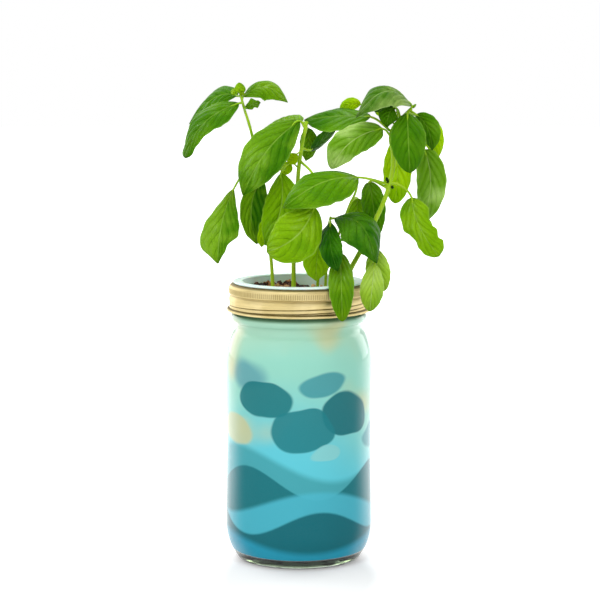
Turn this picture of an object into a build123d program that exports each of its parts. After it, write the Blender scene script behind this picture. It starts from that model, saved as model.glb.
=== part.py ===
from build123d import *

import math
import os

# A one-quart wide-mouth glass jar that waters a herb by itself: a pot hangs in the mouth
# over the water, and a felt wick carries the water up to the growing medium.
# Lengths are in millimetres, +Z is up and the jar stands on the plane z = 0, its axis on Z.
# The side that faces the viewer looks along +Y.

# The glass jar, from its foot up. The radii of the neck and the bead are counted from the
# finish, which is the plain cylinder round the mouth that carries the thread.
jar_radius = 47.05
jar_wall = 3.0
rest_inset = 7.65
rest_width = 4.0
foot_inset = 6.05
foot_height = 1.8
heel_height = 22.0
punt_height = 2.5
floor_height = 5.5
floor_round = 7.55
body_rise = 105.0
waist_depth = 0.45
waist_rise = 58.0
mouth_inset = 8.95
finish_wall = 3.4
slope_outset = 0.85
slope_rise = 20.3
neck_inset = 1.1
neck_rise = 4.9
bead_foot_inset = 0.5
bead_foot_rise = 1.7
bead_outset = 2.05
bead_lower_rise = 3.3
bead_upper_rise = 3.2
lip_round = 1.2

# The thread on the glass
thread_start_rise = 4.2
thread_pitch = 6.35
thread_turns = 1.2
thread_to_lip = 6.18
thread_depth = 1.1
thread_foot = 2.6
thread_crest = 1.2
thread_root = 0.5
thread_steps = 36
thread_run_in_steps = 3

# The printed sleeve that is shrunk onto the glass
sleeve_gap = 0.05
sleeve_thickness = 0.2
sleeve_bottom = 5.6

# The screw band. Its radii are counted from the crest of the thread, its heights from the top down.
face_gap = 0.1
band_sheet = 0.5
band_lap = 3.0
band_foot_gap = 0.8
band_shoulder = 2.75
knurl_outset = 2.55
knurl_top_drop = 2.4
knurl_height = 3.6
knurl_flutes = 90
flute_depth = 0.22
flute_width = 0.8
valley_fall = 1.3
valley_outset = 2.0
rib_fall = 3.1
rib_outset = 2.35
pinch_fall = 2.0
pinch_outset = 1.95
curl_radius = 1.3
curl_outset = 3.8

# The pot that hangs in the mouth
mouth_clearance = 0.8
rim_width = 5.0
rim_thickness = 1.4
pot_taper = 7.3
pot_depth = 66.5
pot_wall = 1.0
pot_floor = 1.2
slot_count = 20
slot_width = 3.2
slot_lower_rise = 6.0
slot_length = 20.0
slot_row_gap = 5.0
drain_count = 10
drain_width = 2.6
drain_length = 12.0
drain_margin = 4.0

# The felt wick
wick_width = 10.0
wick_thickness = 2.5
wick_floor_gap = 2.5
wick_in_medium = 26.0
wick_clearance = 0.3

# The growing medium and what lies on it
medium_drop = 9.0
medium_gap = 0.3
bed_gap = 0.05
chip_length = 8.0
chip_lean = 14.0

# The carbon on the floor of the jar
granule_size = 4.6
granule_lean = 18.0

# The herb
plant_reach = 97.5
stem_radius = 1.8
leaf_thickness = 0.7
petiole_radius = 0.6
petiole_sink = 0.4
bud_radius = 2.6
hang_gap = 4.0
cut_overrun = 2.0

inner_radius = jar_radius - jar_wall
floor_radius = inner_radius - floor_round
mouth_radius = jar_radius - mouth_inset
finish_radius = mouth_radius + finish_wall
shoulder_height = heel_height + body_rise
slope_height = shoulder_height + slope_rise
neck_height = slope_height + neck_rise
bead_foot_height = neck_height + bead_foot_rise
bead_height = bead_foot_height + bead_lower_rise
bead_top_height = bead_height + bead_upper_rise
thread_start_height = bead_top_height + thread_start_rise
jar_height = thread_start_height + thread_pitch * thread_turns + thread_to_lip

band_top = jar_height + face_gap + band_sheet
band_bottom = bead_top_height + band_foot_gap
crest_radius = finish_radius + thread_depth
knurl_radius = crest_radius + knurl_outset
band_top_radius = knurl_radius - band_shoulder
band_opening_radius = finish_radius - band_lap
band_outer_radius = crest_radius + curl_outset

pot_radius = mouth_radius - mouth_clearance
pot_foot_radius = pot_radius - pot_taper
pot_rim_bottom = band_top + face_gap
pot_rim_top = pot_rim_bottom + rim_thickness
pot_bottom = pot_rim_top - pot_depth
medium_top = pot_rim_top - medium_drop
wick_bottom = floor_height + wick_floor_gap

# Where each stem stands in the pot, right and back as shares of the pot's radius: at its foot,
# in the growing medium, and where it passes the rim.
root_shares = {
    "stem_left": ((-0.444, 0.131), (-0.457, 0.131)),
    "stem_middle": ((-0.091, 0.0), (-0.089, 0.0)),
    "stem_thin": ((0.314, 0.261), (0.337, 0.2)),
    "stem_slim": ((0.457, 0.105), (0.469, 0.097)),
    "stem_right": ((0.706, 0.0), (0.784, 0.0)),
}
root_depth_share = 0.67

# Each stem: its radius at the foot and at the tip as shares of the stem radius, and its route
# above the rim as (right, back, up) shares of the plant's reach, up counted from the rim.
stem_shares = {
    "stem_left": (0.72, 0.45, [
        (-0.185, 0.06, 0.14), (-0.235, 0.06, 0.53), (-0.30, 0.05, 0.92), (-0.33, 0.04, 1.04),
        (-0.352, 0.03, 1.11), (-0.385, 0.02, 1.235)]),
    "stem_middle": (0.89, 0.67, [
        (-0.034, 0.0, 0.12), (-0.02, 0.0, 0.40), (-0.007, 0.0, 0.65), (0.006, 0.0, 0.79),
        (0.038, 0.0, 0.98), (0.052, 0.0, 1.045)]),
    "stem_thin": (0.56, 0.44, [
        (0.135, 0.06, 0.05), (0.155, 0.01, 0.20), (0.18, -0.04, 0.31), (0.209, -0.08, 0.426)]),
    "stem_slim": (0.56, 0.39, [
        (0.185, 0.03, 0.07), (0.255, 0.01, 0.277), (0.333, 0.03, 0.49), (0.38, 0.04, 0.60),
        (0.382, 0.03, 0.66)]),
    "stem_right": (1.0, 0.62, [
        (0.345, 0.0, 0.08), (0.402, 0.0, 0.185), (0.469, -0.01, 0.325), (0.594, -0.02, 0.631),
        (0.62, -0.02, 0.81), (0.602, -0.02, 0.96), (0.64, -0.02, 1.035), (0.70, -0.02, 1.095),
        (0.735, -0.02, 1.13)]),
}

# Each leaf: its stem, then as shares of the plant's reach the points where its stalk leaves
# the stem, where the stalk bends (or None), where the blade starts, its middle and its tip,
# and the blade's width. Then the blade's lean about its own line in degrees, the doming as a
# share of its half width, and the share of its length at which it is widest.
# The leaves that hang over the band have None for their middle and tip, which follow below.
leaf_shares = {
    "leaf_left_outer": ("stem_left", (-0.366, 0.025, 1.165), None, (-0.39, -0.01, 1.165),
                        (-0.62, -0.09, 1.04), (-0.735, -0.15, 0.813), 0.23, 40, 0.15, 0.5),
    "leaf_left_back": ("stem_left", (-0.378, 0.022, 1.21), None, (-0.405, 0.07, 1.21),
                       (-0.565, 0.16, 1.20), (-0.73, 0.22, 1.02), 0.24, 60, 0.2, 0.5),
    "leaf_left_inner": ("stem_left", (-0.372, 0.023, 1.185), None, (-0.345, 0.04, 1.215),
                        (-0.215, 0.05, 1.272), (-0.072, 0.04, 1.168), 0.20, -50, 0.25, 0.5),
    "leaflet_left": ("stem_left", (-0.35, 0.03, 1.10), None, (-0.33, -0.02, 1.12),
                     (-0.295, -0.04, 1.15), (-0.255, -0.05, 1.17), 0.06, 0, 0.2, 0.5),
    "leaf_left_low": ("stem_left", (-0.283, 0.052, 0.82), None, (-0.425, -0.02, 0.61),
                      (-0.505, -0.08, 0.385), (-0.53, -0.10, 0.12), 0.235, 15, 0.2, 0.62),
    "leaf_left_low_inner": ("stem_left", (-0.265, 0.055, 0.71), None, (-0.24, 0.02, 0.67),
                            (-0.31, -0.04, 0.478), (-0.272, -0.03, 0.244), 0.19, -20, -0.4, 0.5),
    "leaf_left_low_back": ("stem_left", (-0.235, 0.06, 0.53), None, (-0.235, 0.09, 0.46),
                           (-0.238, 0.11, 0.34), (-0.248, 0.10, 0.21), 0.13, 0, 0.2, 0.5),
    "leaf_middle_front": ("stem_middle", (0.042, 0.0, 1.0), None, (0.005, -0.03, 1.05),
                          (-0.21, -0.20, 0.86), (-0.36, -0.22, 0.577), 0.28, 10, 0.2, 0.5),
    "leaf_middle_back": ("stem_middle", (0.05, 0.0, 1.035), None, (0.013, 0.05, 1.04),
                         (-0.09, 0.14, 1.06), (-0.205, 0.22, 1.01), 0.22, 70, 0.2, 0.5),
    "leaf_middle_low": ("stem_middle", (0.012, 0.0, 0.825), None, (-0.117, -0.07, 0.711),
                        (-0.122, -0.14, 0.473), (-0.22, -0.15, 0.246), 0.25, 15, 0.2, 0.5),
    "leaf_front_round": ("stem_middle", (0.006, 0.0, 0.79), (0.097, -0.09, 0.693), (0.103, -0.23, 0.505),
                         (-0.01, -0.36, 0.33), (-0.205, -0.37, 0.225), 0.32, 0, 0.15, 0.5),
    "leaf_stem_back": ("stem_middle", (0.042, 0.0, 0.97), None, (0.055, 0.06, 1.0),
                       (0.065, 0.12, 0.89), (0.046, 0.13, 0.78), 0.12, 0, 0.25, 0.5),
    "leaf_stem_side": ("stem_middle", (0.02, 0.0, 0.87), None, (0.078, 0.04, 0.855),
                       (0.163, 0.09, 0.915), (0.255, 0.12, 1.0), 0.12, 50, 0.2, 0.5),
    "leaflet_middle": ("stem_middle", (0.018, 0.0, 0.855), None, (-0.01, -0.03, 0.835),
                       (-0.04, -0.05, 0.805), (-0.072, -0.06, 0.775), 0.08, 0, 0.2, 0.5),
    "leaflet_low": ("stem_middle", (0.0, 0.0, 0.74), None, (-0.052, 0.03, 0.772),
                    (-0.08, 0.035, 0.737), (-0.105, 0.035, 0.688), 0.08, 0, 0.2, 0.5),
    "leaf_front_arch": ("stem_thin", (0.206, -0.078, 0.415), None, (0.232, -0.10, 0.42),
                        (0.406, -0.18, 0.391), (0.507, -0.21, 0.134), 0.34, -45, 0.25, 0.48),
    "leaf_front_dark": ("stem_thin", (0.203, -0.073, 0.398), None, (0.206, -0.16, 0.397),
                        (0.204, -0.31, 0.263), (0.249, -0.41, 0.107), 0.15, 0, 0.2, 0.5),
    "leaf_front_low": ("stem_thin", (0.195, -0.06, 0.365), None, (0.147, -0.14, 0.32),
                       (0.118, -0.20, 0.165), (0.115, -0.25, 0.024), 0.19, 0, 0.2, 0.45),
    "leaf_over_band": ("stem_slim", (0.255, 0.01, 0.277), (0.27, -0.08, 0.27), (0.27, -0.20, 0.204),
                       None, None, 0.165, 0, 0.2, 0.45),
    "leaf_slim_back": ("stem_slim", (0.345, 0.033, 0.52), None, (0.388, 0.14, 0.53),
                       (0.39, 0.19, 0.43), (0.375, 0.21, 0.33), 0.14, 0, 0.2, 0.5),
    "leaf_front_long": ("stem_right", (0.594, -0.02, 0.631), (0.48, -0.06, 0.668), (0.388, -0.12, 0.688),
                        (0.147, -0.28, 0.671), (-0.101, -0.36, 0.505), 0.32, 45, 0.3, 0.45),
    "leaf_right_shaded": ("stem_right", (0.585, -0.018, 0.61), None, (0.464, 0.05, 0.645),
                          (0.495, 0.08, 0.465), (0.515, 0.08, 0.262), 0.16, 10, 0.2, 0.42),
    "leaf_right_low": ("stem_right", (0.598, -0.02, 0.65), (0.673, -0.06, 0.625), (0.735, -0.10, 0.555),
                       (0.785, -0.14, 0.366), (0.915, -0.16, 0.175), 0.205, 10, 0.2, 0.45),
    "leaf_right_inner": ("stem_right", (0.614, -0.02, 0.86), None, (0.64, 0.06, 0.92),
                         (0.655, 0.14, 0.70), (0.64, 0.16, 0.495), 0.19, 0, 0.2, 0.5),
    "leaf_beside_band": ("stem_right", (0.402, 0.0, 0.185), (0.468, -0.11, 0.163), (0.494, -0.175, 0.133),
                         None, None, 0.155, 0, 0.2, 0.5),
    "leaf_beside_back": ("stem_right", (0.418, -0.003, 0.22), None, (0.505, -0.055, 0.215),
                         None, None, 0.16, 0, 0.2, 0.5),
    "leaf_upper_middle": ("stem_right", (0.604, -0.02, 0.945), None, (0.548, -0.06, 1.0),
                          (0.345, -0.145, 0.925), (0.208, -0.17, 0.745), 0.20, 20, 0.2, 0.38),
    "leaf_upper_flat": ("stem_right", (0.61, -0.02, 0.975), None, (0.471, 0.0, 1.076),
                        (0.255, 0.065, 1.075), (0.06, 0.13, 1.045), 0.24, 60, 0.2, 0.5),
    "leaf_upper_small": ("stem_right", (0.632, -0.02, 1.02), (0.55, 0.06, 1.10), (0.41, 0.17, 1.15),
                         (0.335, 0.19, 1.15), (0.275, 0.19, 1.10), 0.10, 20, 0.2, 0.5),
    "leaf_top_dark": ("stem_right", (0.648, -0.02, 1.043), None, (0.62, -0.055, 1.14),
                      (0.585, -0.075, 1.09), (0.575, -0.075, 1.01), 0.09, 0, 0.2, 0.5),
    "leaf_top_under": ("stem_right", (0.662, -0.02, 1.057), None, (0.64, -0.005, 1.13),
                       (0.53, 0.02, 1.16), (0.44, 0.03, 1.145), 0.14, 55, 0.2, 0.5),
    "leaf_top_light": ("stem_right", (0.676, -0.02, 1.071), None, (0.62, 0.07, 1.11),
                       (0.56, 0.11, 1.115), (0.49, 0.13, 1.125), 0.10, 10, 0.2, 0.5),
    "leaf_right_long": ("stem_right", (0.688, -0.02, 1.083), (0.78, 0.02, 0.99), (0.825, 0.04, 0.86),
                        (0.865, 0.02, 0.61), (0.795, -0.01, 0.385), 0.20, 15, 0.25, 0.4),
    "leaf_right_back": ("stem_right", (0.705, -0.02, 1.10), None, (0.77, 0.05, 1.08),
                        (0.865, 0.14, 0.965), (0.92, 0.20, 0.785), 0.16, 20, 0.3, 0.5),
    "leaf_right_front": ("stem_right", (0.70, -0.02, 1.095), None, (0.705, -0.08, 1.10),
                         (0.709, -0.17, 0.92), (0.72, -0.17, 0.718), 0.235, 0, 0.2, 0.45),
    "leaf_right_dark": ("stem_right", (0.722, -0.02, 1.117), None, (0.765, -0.03, 1.09),
                        (0.84, -0.03, 1.0), (0.872, -0.03, 0.86), 0.15, 20, 0.3, 0.5),
    "leaf_top_arch": ("stem_right", (0.73, -0.02, 1.125), None, (0.737, -0.04, 1.15),
                      (0.565, -0.10, 1.245), (0.388, -0.14, 1.075), 0.26, 58, 0.25, 0.42),
}

# The middle and the tip of each leaf that hangs over the band: the direction from the jar's
# axis in degrees, how far outside the band as a share of the hang gap, and the height above
# the rim as a share of the plant's reach.
hanging_shares = {
    "leaf_over_band": ((-57.7, 0.80, 0.018), (-62.4, 2.98, -0.202)),
    "leaf_beside_band": ((-34.9, 2.46, -0.012), (-36.6, 2.30, -0.164)),
    "leaf_beside_back": ((-14.1, 1.39, 0.085), (-15.9, 2.62, -0.052)),
}

# The rings of a blade, as shares of its length, and the ring's points across it.
blade_ring_shares = (0.07, 0.17, 0.31, 0.46, 0.62, 0.78, 0.91, 1.0)
blade_fullness_share = 0.62
tip_share = 0.05

# The buds: right, back and up as shares of the reach, and the bud's size as a share of the bud radius.
bud_shares = (
    (-0.388, 0.018, 1.262, 1.0),
    (-0.362, 0.03, 1.145, 0.45),
    (0.752, -0.02, 1.145, 0.55),
    (0.578, -0.03, 0.669, 0.5),
    (0.612, -0.03, 0.617, 0.45),
)
bud_ring_shares = ((-1.0, 0.3), (-0.6, 0.8), (0.0, 1.0), (0.6, 0.8), (1.0, 0.25))

# The chips: their place as shares of the pot's radius, their length, width and height as
# shares of the chip length, and their turn in degrees.
chip_shares = (
    (-0.78, 0.22, 0.95, 0.55, 0.42, 20),
    (-0.70, 0.50, 1.0, 0.5, 0.55, 65),
    (-0.62, -0.12, 0.9, 0.6, 0.38, -30),
    (-0.42, 0.42, 1.1, 0.55, 0.62, 10),
    (-0.36, 0.70, 1.0, 0.6, 0.5, -15),
    (-0.12, 0.48, 1.15, 0.6, 0.68, 40),
    (-0.08, 0.76, 0.9, 0.55, 0.42, 80),
    (-0.24, 0.18, 0.75, 0.5, 0.5, -50),
    (-0.68, -0.42, 0.85, 0.5, 0.34, 70),
    (0.20, 0.62, 0.95, 0.5, 0.4, -70),
    (0.08, -0.45, 0.9, 0.6, 0.34, 15),
    (-0.30, -0.60, 1.0, 0.5, 0.36, -20),
    (0.48, 0.48, 0.85, 0.55, 0.34, 30),
    (0.50, -0.45, 0.95, 0.5, 0.34, -55),
)
chip_outline_shares = ((-0.5, -0.32), (-0.12, -0.5), (0.5, -0.22), (0.42, 0.36), (-0.2, 0.5))

# The granules: their place as shares of the floor's radius, their size and their turn in degrees.
granule_shares = (
    (0.70, 0.0, 1.0, 10), (0.55, 0.42, 0.8, 55), (0.25, 0.66, 1.0, 120), (-0.12, 0.58, 0.75, 35),
    (-0.50, 0.50, 0.95, 80), (-0.70, 0.15, 0.8, 15), (-0.66, -0.25, 1.0, 100), (-0.38, -0.52, 0.85, 60),
    (0.02, -0.68, 1.0, 25), (0.36, -0.44, 0.8, 140), (0.62, -0.30, 0.9, 70), (0.30, 0.30, 0.85, 5),
    (-0.34, 0.26, 0.9, 45), (-0.25, -0.25, 0.75, 95), (0.08, -0.36, 0.85, 130),
)
granule_outline_shares = ((-0.5, -0.2), (-0.15, -0.5), (0.4, -0.4), (0.5, 0.1), (0.15, 0.5), (-0.35, 0.35))
granule_height_share = 0.75


def turned(edges):
    """A ring-shaped solid, turned about Z from a closed outline in radius and height."""
    return revolve(Plane.XZ * make_face(edges), Axis.Z)


def faceted(rings):
    """A closed solid with flat faces through rings of points, each with as many points."""
    faces = [Face(Wire.make_polygon(rings[0], close=True)), Face(Wire.make_polygon(rings[-1], close=True))]
    count = len(rings[0])
    for low, high in zip(rings, rings[1:]):
        for i in range(count):
            j = (i + 1) % count
            faces.append(Face(Wire.make_polygon([low[i], low[j], high[j]], close=True)))
            faces.append(Face(Wire.make_polygon([low[i], high[j], high[i]], close=True)))
    solid = Solid(Shell(faces))
    return solid if solid.volume > 0 else Solid(solid.wrapped.Reversed())


def jar_side(out):
    """The jar's outer side from its foot to the top of the neck bead, moved out by a distance."""
    wall_top = (jar_radius + out, shoulder_height)
    wall_foot = (jar_radius + out, heel_height)
    waist = (jar_radius - waist_depth + out, heel_height + waist_rise)
    slope_end = (finish_radius + slope_outset + out, slope_height)
    neck = (finish_radius - neck_inset + out, neck_height)
    bead_foot = (finish_radius - bead_foot_inset + out, bead_foot_height)
    bead = (finish_radius + bead_outset + out, bead_height)
    bead_top = (finish_radius + out, bead_top_height)
    foot = (jar_radius - foot_inset + out, foot_height)
    return [
        TangentArc(wall_foot, foot, tangent=(0, -1)),
        Spline(wall_foot, waist, wall_top, tangents=[(0, 1), (0, 1)]),
        TangentArc(wall_top, slope_end, tangent=(0, 1)),
        ThreePointArc(slope_end, neck, bead_foot),
        ThreePointArc(bead_foot, bead, bead_top),
    ]


def thread():
    """The right-hand helical ridge on the glass, tapered away at both ends."""
    root = finish_radius - thread_root
    rings = []
    for i in range(thread_steps + 1):
        turn = math.radians(360 * thread_turns * i / thread_steps)
        height = thread_start_height + thread_pitch * thread_turns * i / thread_steps
        rise = min(1, i / thread_run_in_steps, (thread_steps - i) / thread_run_in_steps)
        crest = finish_radius + thread_depth * rise
        corners = ((root, -thread_foot), (crest, -thread_crest), (crest, thread_crest), (root, thread_foot))
        rings.append([Vector(radius * math.cos(turn), radius * math.sin(turn), height + width / 2)
                      for radius, width in corners])
    return faceted(rings)


def glass_jar():
    foot = (jar_radius - foot_inset, foot_height)
    rest_outer = (jar_radius - rest_inset, 0)
    rest_inner = (jar_radius - rest_inset - rest_width, 0)
    finish_foot = (finish_radius, bead_top_height)
    lip_outer = (finish_radius, jar_height - lip_round)
    lip_top = (finish_radius - lip_round, jar_height)
    mouth_top = (mouth_radius + lip_round, jar_height)
    mouth_edge = (mouth_radius, jar_height - lip_round)
    mouth_foot = (mouth_radius, neck_height)
    inner_top = (inner_radius, shoulder_height)
    inner_foot = (inner_radius, heel_height)
    floor_edge = (floor_radius, floor_height)
    outline = jar_side(0) + [
        RadiusArc(rest_outer, foot, -foot_height * 1.5),
        Line(rest_outer, rest_inner),
        TangentArc((0, punt_height), rest_inner, tangent=(1, 0)),
        Line((0, punt_height), (0, floor_height)),
        Line((0, floor_height), floor_edge),
        TangentArc(inner_foot, floor_edge, tangent=(0, -1)),
        Line(inner_foot, inner_top),
        TangentArc(inner_top, mouth_foot, tangent=(0, 1)),
        Line(mouth_foot, mouth_edge),
        RadiusArc(mouth_edge, mouth_top, lip_round),
        Line(mouth_top, lip_top),
        RadiusArc(lip_top, lip_outer, lip_round),
        Line(lip_outer, finish_foot),
    ]
    return turned(outline) + thread()


def printed_sleeve():
    inside = jar_side(sleeve_gap)
    outside = jar_side(sleeve_gap + sleeve_thickness)
    foot = Line(inside[0] @ 1, outside[0] @ 1)
    top = Line(inside[-1] @ 1, outside[-1] @ 1)
    shell = turned(inside + outside + [foot, top])
    span = bead_top_height - sleeve_bottom + cut_overrun
    keep = Pos(0, 0, sleeve_bottom) * Cylinder(
        band_outer_radius * 2, span, align=(Align.CENTER, Align.CENTER, Align.MIN))
    return shell & keep


def band_side(inward):
    """The band's side from its top shoulder to the start of its rolled edge, moved in."""
    places = []
    height = band_top
    for outset, fall in ((knurl_outset, knurl_top_drop), (knurl_outset, knurl_height),
                         (valley_outset, valley_fall), (rib_outset, rib_fall), (pinch_outset, pinch_fall)):
        height -= fall
        places.append((crest_radius + outset - inward, height))
    return places


def screw_band():
    outer = band_side(0)
    inner = band_side(band_sheet)
    curl_centre = (band_outer_radius - curl_radius, band_bottom + curl_radius)
    outer_end = (curl_centre[0] + band_sheet / 2, curl_centre[1])
    inner_end = (curl_centre[0] - band_sheet / 2, curl_centre[1])
    top_inner = (band_top_radius, band_top - band_sheet)
    shell = turned([
        Line((band_opening_radius, band_top), (band_top_radius, band_top)),
        TangentArc((band_top_radius, band_top), outer[0], tangent=(1, 0)),
        Polyline(*outer, outer_end),
        Line(outer_end, inner_end),
        Polyline(*inner, inner_end),
        TangentArc(top_inner, inner[0], tangent=(1, 0)),
        Line(top_inner, (band_opening_radius, band_top - band_sheet)),
        Line((band_opening_radius, band_top - band_sheet), (band_opening_radius, band_top)),
    ])
    curl = turned([CenterArc(curl_centre, curl_radius, 0, 360)])
    band = shell + curl
    flute = Pos(knurl_radius, 0, band_top - knurl_top_drop - knurl_height / 2) * Box(
        flute_depth * 2, flute_width, knurl_height - flute_width)
    return band - [Rot(0, 0, 360 / knurl_flutes * i) * flute for i in range(knurl_flutes)]


def pot_radius_at(height):
    """The pot's outer radius at a height."""
    share = (height - pot_bottom) / (pot_rim_bottom - pot_bottom)
    return pot_foot_radius + (pot_radius - pot_foot_radius) * share


def net_pot():
    inner_top = pot_radius - pot_wall
    inner_foot = pot_foot_radius - pot_wall
    rim_radius = pot_radius + rim_width
    pot = turned([Polyline(
        (0, pot_bottom), (pot_foot_radius, pot_bottom), (pot_radius, pot_rim_bottom),
        (rim_radius, pot_rim_bottom), (rim_radius, pot_rim_top), (inner_top, pot_rim_top),
        (inner_foot, pot_bottom + pot_floor), (0, pot_bottom + pot_floor), close=True)])
    cuts = []
    for row in range(2):
        centre_height = pot_bottom + slot_lower_rise + slot_length / 2 + row * (slot_length + slot_row_gap)
        slot = Pos(pot_radius_at(centre_height), 0, centre_height) * Box(
            pot_wall * 2 + cut_overrun * 2, slot_width, slot_length)
        cuts += [Rot(0, 0, 360 / slot_count * i) * slot for i in range(slot_count)]
    drain = Pos(pot_foot_radius - drain_margin - drain_length / 2, 0, pot_bottom + pot_floor / 2) * Box(
        drain_length, drain_width, pot_floor + cut_overrun)
    cuts += [Rot(0, 0, 360 / drain_count * (i + 0.5)) * drain for i in range(drain_count)]
    cuts.append(Pos(0, 0, pot_bottom + pot_floor / 2) * Box(
        wick_width + wick_clearance * 2, wick_thickness + wick_clearance * 2, pot_floor + cut_overrun))
    return pot - cuts


def medium_floor():
    return pot_bottom + pot_floor + bed_gap


def capillary_wick():
    top = medium_floor() + wick_in_medium
    return Pos(0, 0, wick_bottom) * Box(
        wick_width, wick_thickness, top - wick_bottom, align=(Align.CENTER, Align.CENTER, Align.MIN))


def growing_medium():
    foot_radius_here = pot_radius_at(medium_floor()) - pot_wall - medium_gap
    top_radius_here = pot_radius_at(medium_top) - pot_wall - medium_gap
    plug = turned([Polyline(
        (0, medium_floor()), (foot_radius_here, medium_floor()), (top_radius_here, medium_top),
        (0, medium_top), close=True)])
    depth = wick_in_medium + wick_clearance
    pocket = Pos(0, 0, medium_floor()) * Box(
        wick_width + wick_clearance * 2, wick_thickness + wick_clearance * 2, depth * 2)
    return plug - pocket


def lump(outline_shares, length, width, height, lean):
    """A small broken piece that stands on z = 0 on a flat face, with leaning sides."""
    face = make_face(Polyline(*[(x * length, y * width) for x, y in outline_shares], close=True))
    return extrude(face, amount=height, taper=lean)


def husk_chips():
    chips = []
    for right, back, long_share, wide_share, tall_share, turn in chip_shares:
        chip = lump(chip_outline_shares, chip_length * long_share, chip_length * wide_share,
                    chip_length * tall_share, chip_lean)
        place = Pos(right * pot_foot_radius, back * pot_foot_radius, medium_top + bed_gap)
        chips.append(place * Rot(0, 0, turn) * chip)
    return Compound(children=chips)


def carbon_granules():
    granules = []
    for right, back, size_share, turn in granule_shares:
        size = granule_size * size_share
        granule = lump(granule_outline_shares, size, size, size * granule_height_share, granule_lean)
        place = Pos(right * floor_radius, back * floor_radius, floor_height + bed_gap)
        granules.append(place * Rot(0, 0, turn) * granule)
    return Compound(children=granules)


def place_of(shares):
    """A point of the plant from its (right, back, up) shares."""
    right, back, up = shares
    return Vector(right * plant_reach, back * plant_reach, up * plant_reach + pot_rim_top)


def beside_band(turn, out_share, up_share):
    """A point of a hanging leaf, outside the band."""
    radius = band_outer_radius + hang_gap * out_share
    angle = math.radians(turn)
    return Vector(radius * math.cos(angle), radius * math.sin(angle), up_share * plant_reach + pot_rim_top)


def round_ring(centre, along, side, radius):
    """Eight points round a centre, square to a direction."""
    side = (side - along * side.dot(along)).normalized()
    other = along.cross(side)
    angles = [math.radians(45 * i) for i in range(8)]
    return [centre + side * (math.cos(a) * radius) + other * (math.sin(a) * radius) for a in angles]


def stem(name):
    foot_share, tip_radius_share, route = stem_shares[name]
    heights = (medium_top - (medium_top - medium_floor() - wick_in_medium) * root_depth_share, pot_rim_top)
    points = [Vector(right * pot_radius, back * pot_radius, height)
              for (right, back), height in zip(root_shares[name], heights)]
    points += [place_of(p) for p in route]
    last = len(points) - 1
    rings = []
    for i, point in enumerate(points):
        along = (points[min(i + 1, last)] - points[max(i - 1, 0)]).normalized()
        share = foot_share + (tip_radius_share - foot_share) * i / last
        rings.append(round_ring(point, along, Vector(0, 1, 0), stem_radius * share))
    return faceted(rings)


def curve_point(start, middle, end, share):
    """A point of the parabola that passes through three points, the middle one at half way."""
    pull = middle * 2 - (start + end) * 0.5
    rest = 1 - share
    return start * rest ** 2 + pull * (2 * share * rest) + end * share ** 2


def curve_direction(start, middle, end, share):
    pull = middle * 2 - (start + end) * 0.5
    return ((pull - start) * (1 - share) + (end - pull) * share).normalized()


def blade_width_share(share, widest_share):
    """How wide a blade is along its length, from nothing at both ends to 1 where it is widest."""
    bend = math.log(0.5) / math.log(widest_share)
    return math.sin(math.pi * share ** bend) ** blade_fullness_share if share < 1 else 0


def blade_ring(centre, along, side, half_width, doming):
    """A thin domed section of a blade: eight points, the two edges sharp."""
    side = (side - along * side.dot(along)).normalized()
    up = along.cross(side)
    half = leaf_thickness / 2

    def at(across_share, lift_share):
        drop = doming * half_width * across_share ** 2
        return centre + side * (across_share * half_width) + up * (half * lift_share - drop)

    return [at(1, 0), at(0.5, 0.8), at(0, 1), at(-0.5, 0.8), at(-1, 0), at(-0.5, -0.8), at(0, -1), at(0.5, -0.8)]


def leaf(name):
    stem_name, stalk_place, bend_place, start_place, middle_place, tip_place = leaf_shares[name][:6]
    width_share, lean, doming, widest = leaf_shares[name][6:]
    start = place_of(start_place)
    if name in hanging_shares:
        middle, tip = [beside_band(*place) for place in hanging_shares[name]]
    else:
        middle, tip = place_of(middle_place), place_of(tip_place)
    chord = (tip - start).normalized()
    level = chord.cross(Vector(0, 1, 0)).normalized()
    facing = chord.cross(level)
    turn = math.radians(lean)
    side = level * math.cos(turn) + facing * math.sin(turn)

    stalk = [place_of(stalk_place)] + ([place_of(bend_place)] if bend_place else []) + [start]
    leaving = (stalk[1] - stalk[0]).normalized()
    foot_share, tip_radius_share = stem_shares[stem_name][:2]
    stem_edge = stem_radius * (foot_share + tip_radius_share) / 2
    stalk[0] = stalk[0] + leaving * (stem_edge - petiole_sink)
    rings = [round_ring(stalk[0], leaving, side, petiole_radius)]
    if bend_place:
        through = ((stalk[1] - stalk[0]).normalized() + (stalk[2] - stalk[1]).normalized()).normalized()
        rings.append(round_ring(stalk[1], through, side, petiole_radius))
    arriving = (stalk[-1] - stalk[-2]).normalized()
    setting_off = (arriving + curve_direction(start, middle, tip, 0)).normalized()
    rings.append(round_ring(start, setting_off, side, petiole_radius))

    widest_half = width_share * plant_reach / 2
    for share in blade_ring_shares:
        centre = curve_point(start, middle, tip, share)
        along = curve_direction(start, middle, tip, share)
        half_width = widest_half * max(blade_width_share(share, widest), tip_share)
        rings.append(blade_ring(centre, along, side, half_width, doming))
    return faceted(rings)


def buds():
    solids = []
    for right, back, up, size_share in bud_shares:
        centre = place_of((right, back, up))
        radius = bud_radius * size_share
        rings = [round_ring(centre + Vector(0, 0, radius * rise), Vector(0, 0, 1), Vector(1, 0, 0), radius * round_share)
                 for rise, round_share in bud_ring_shares]
        solids.append(faceted(rings))
    return Compound(children=solids)


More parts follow.
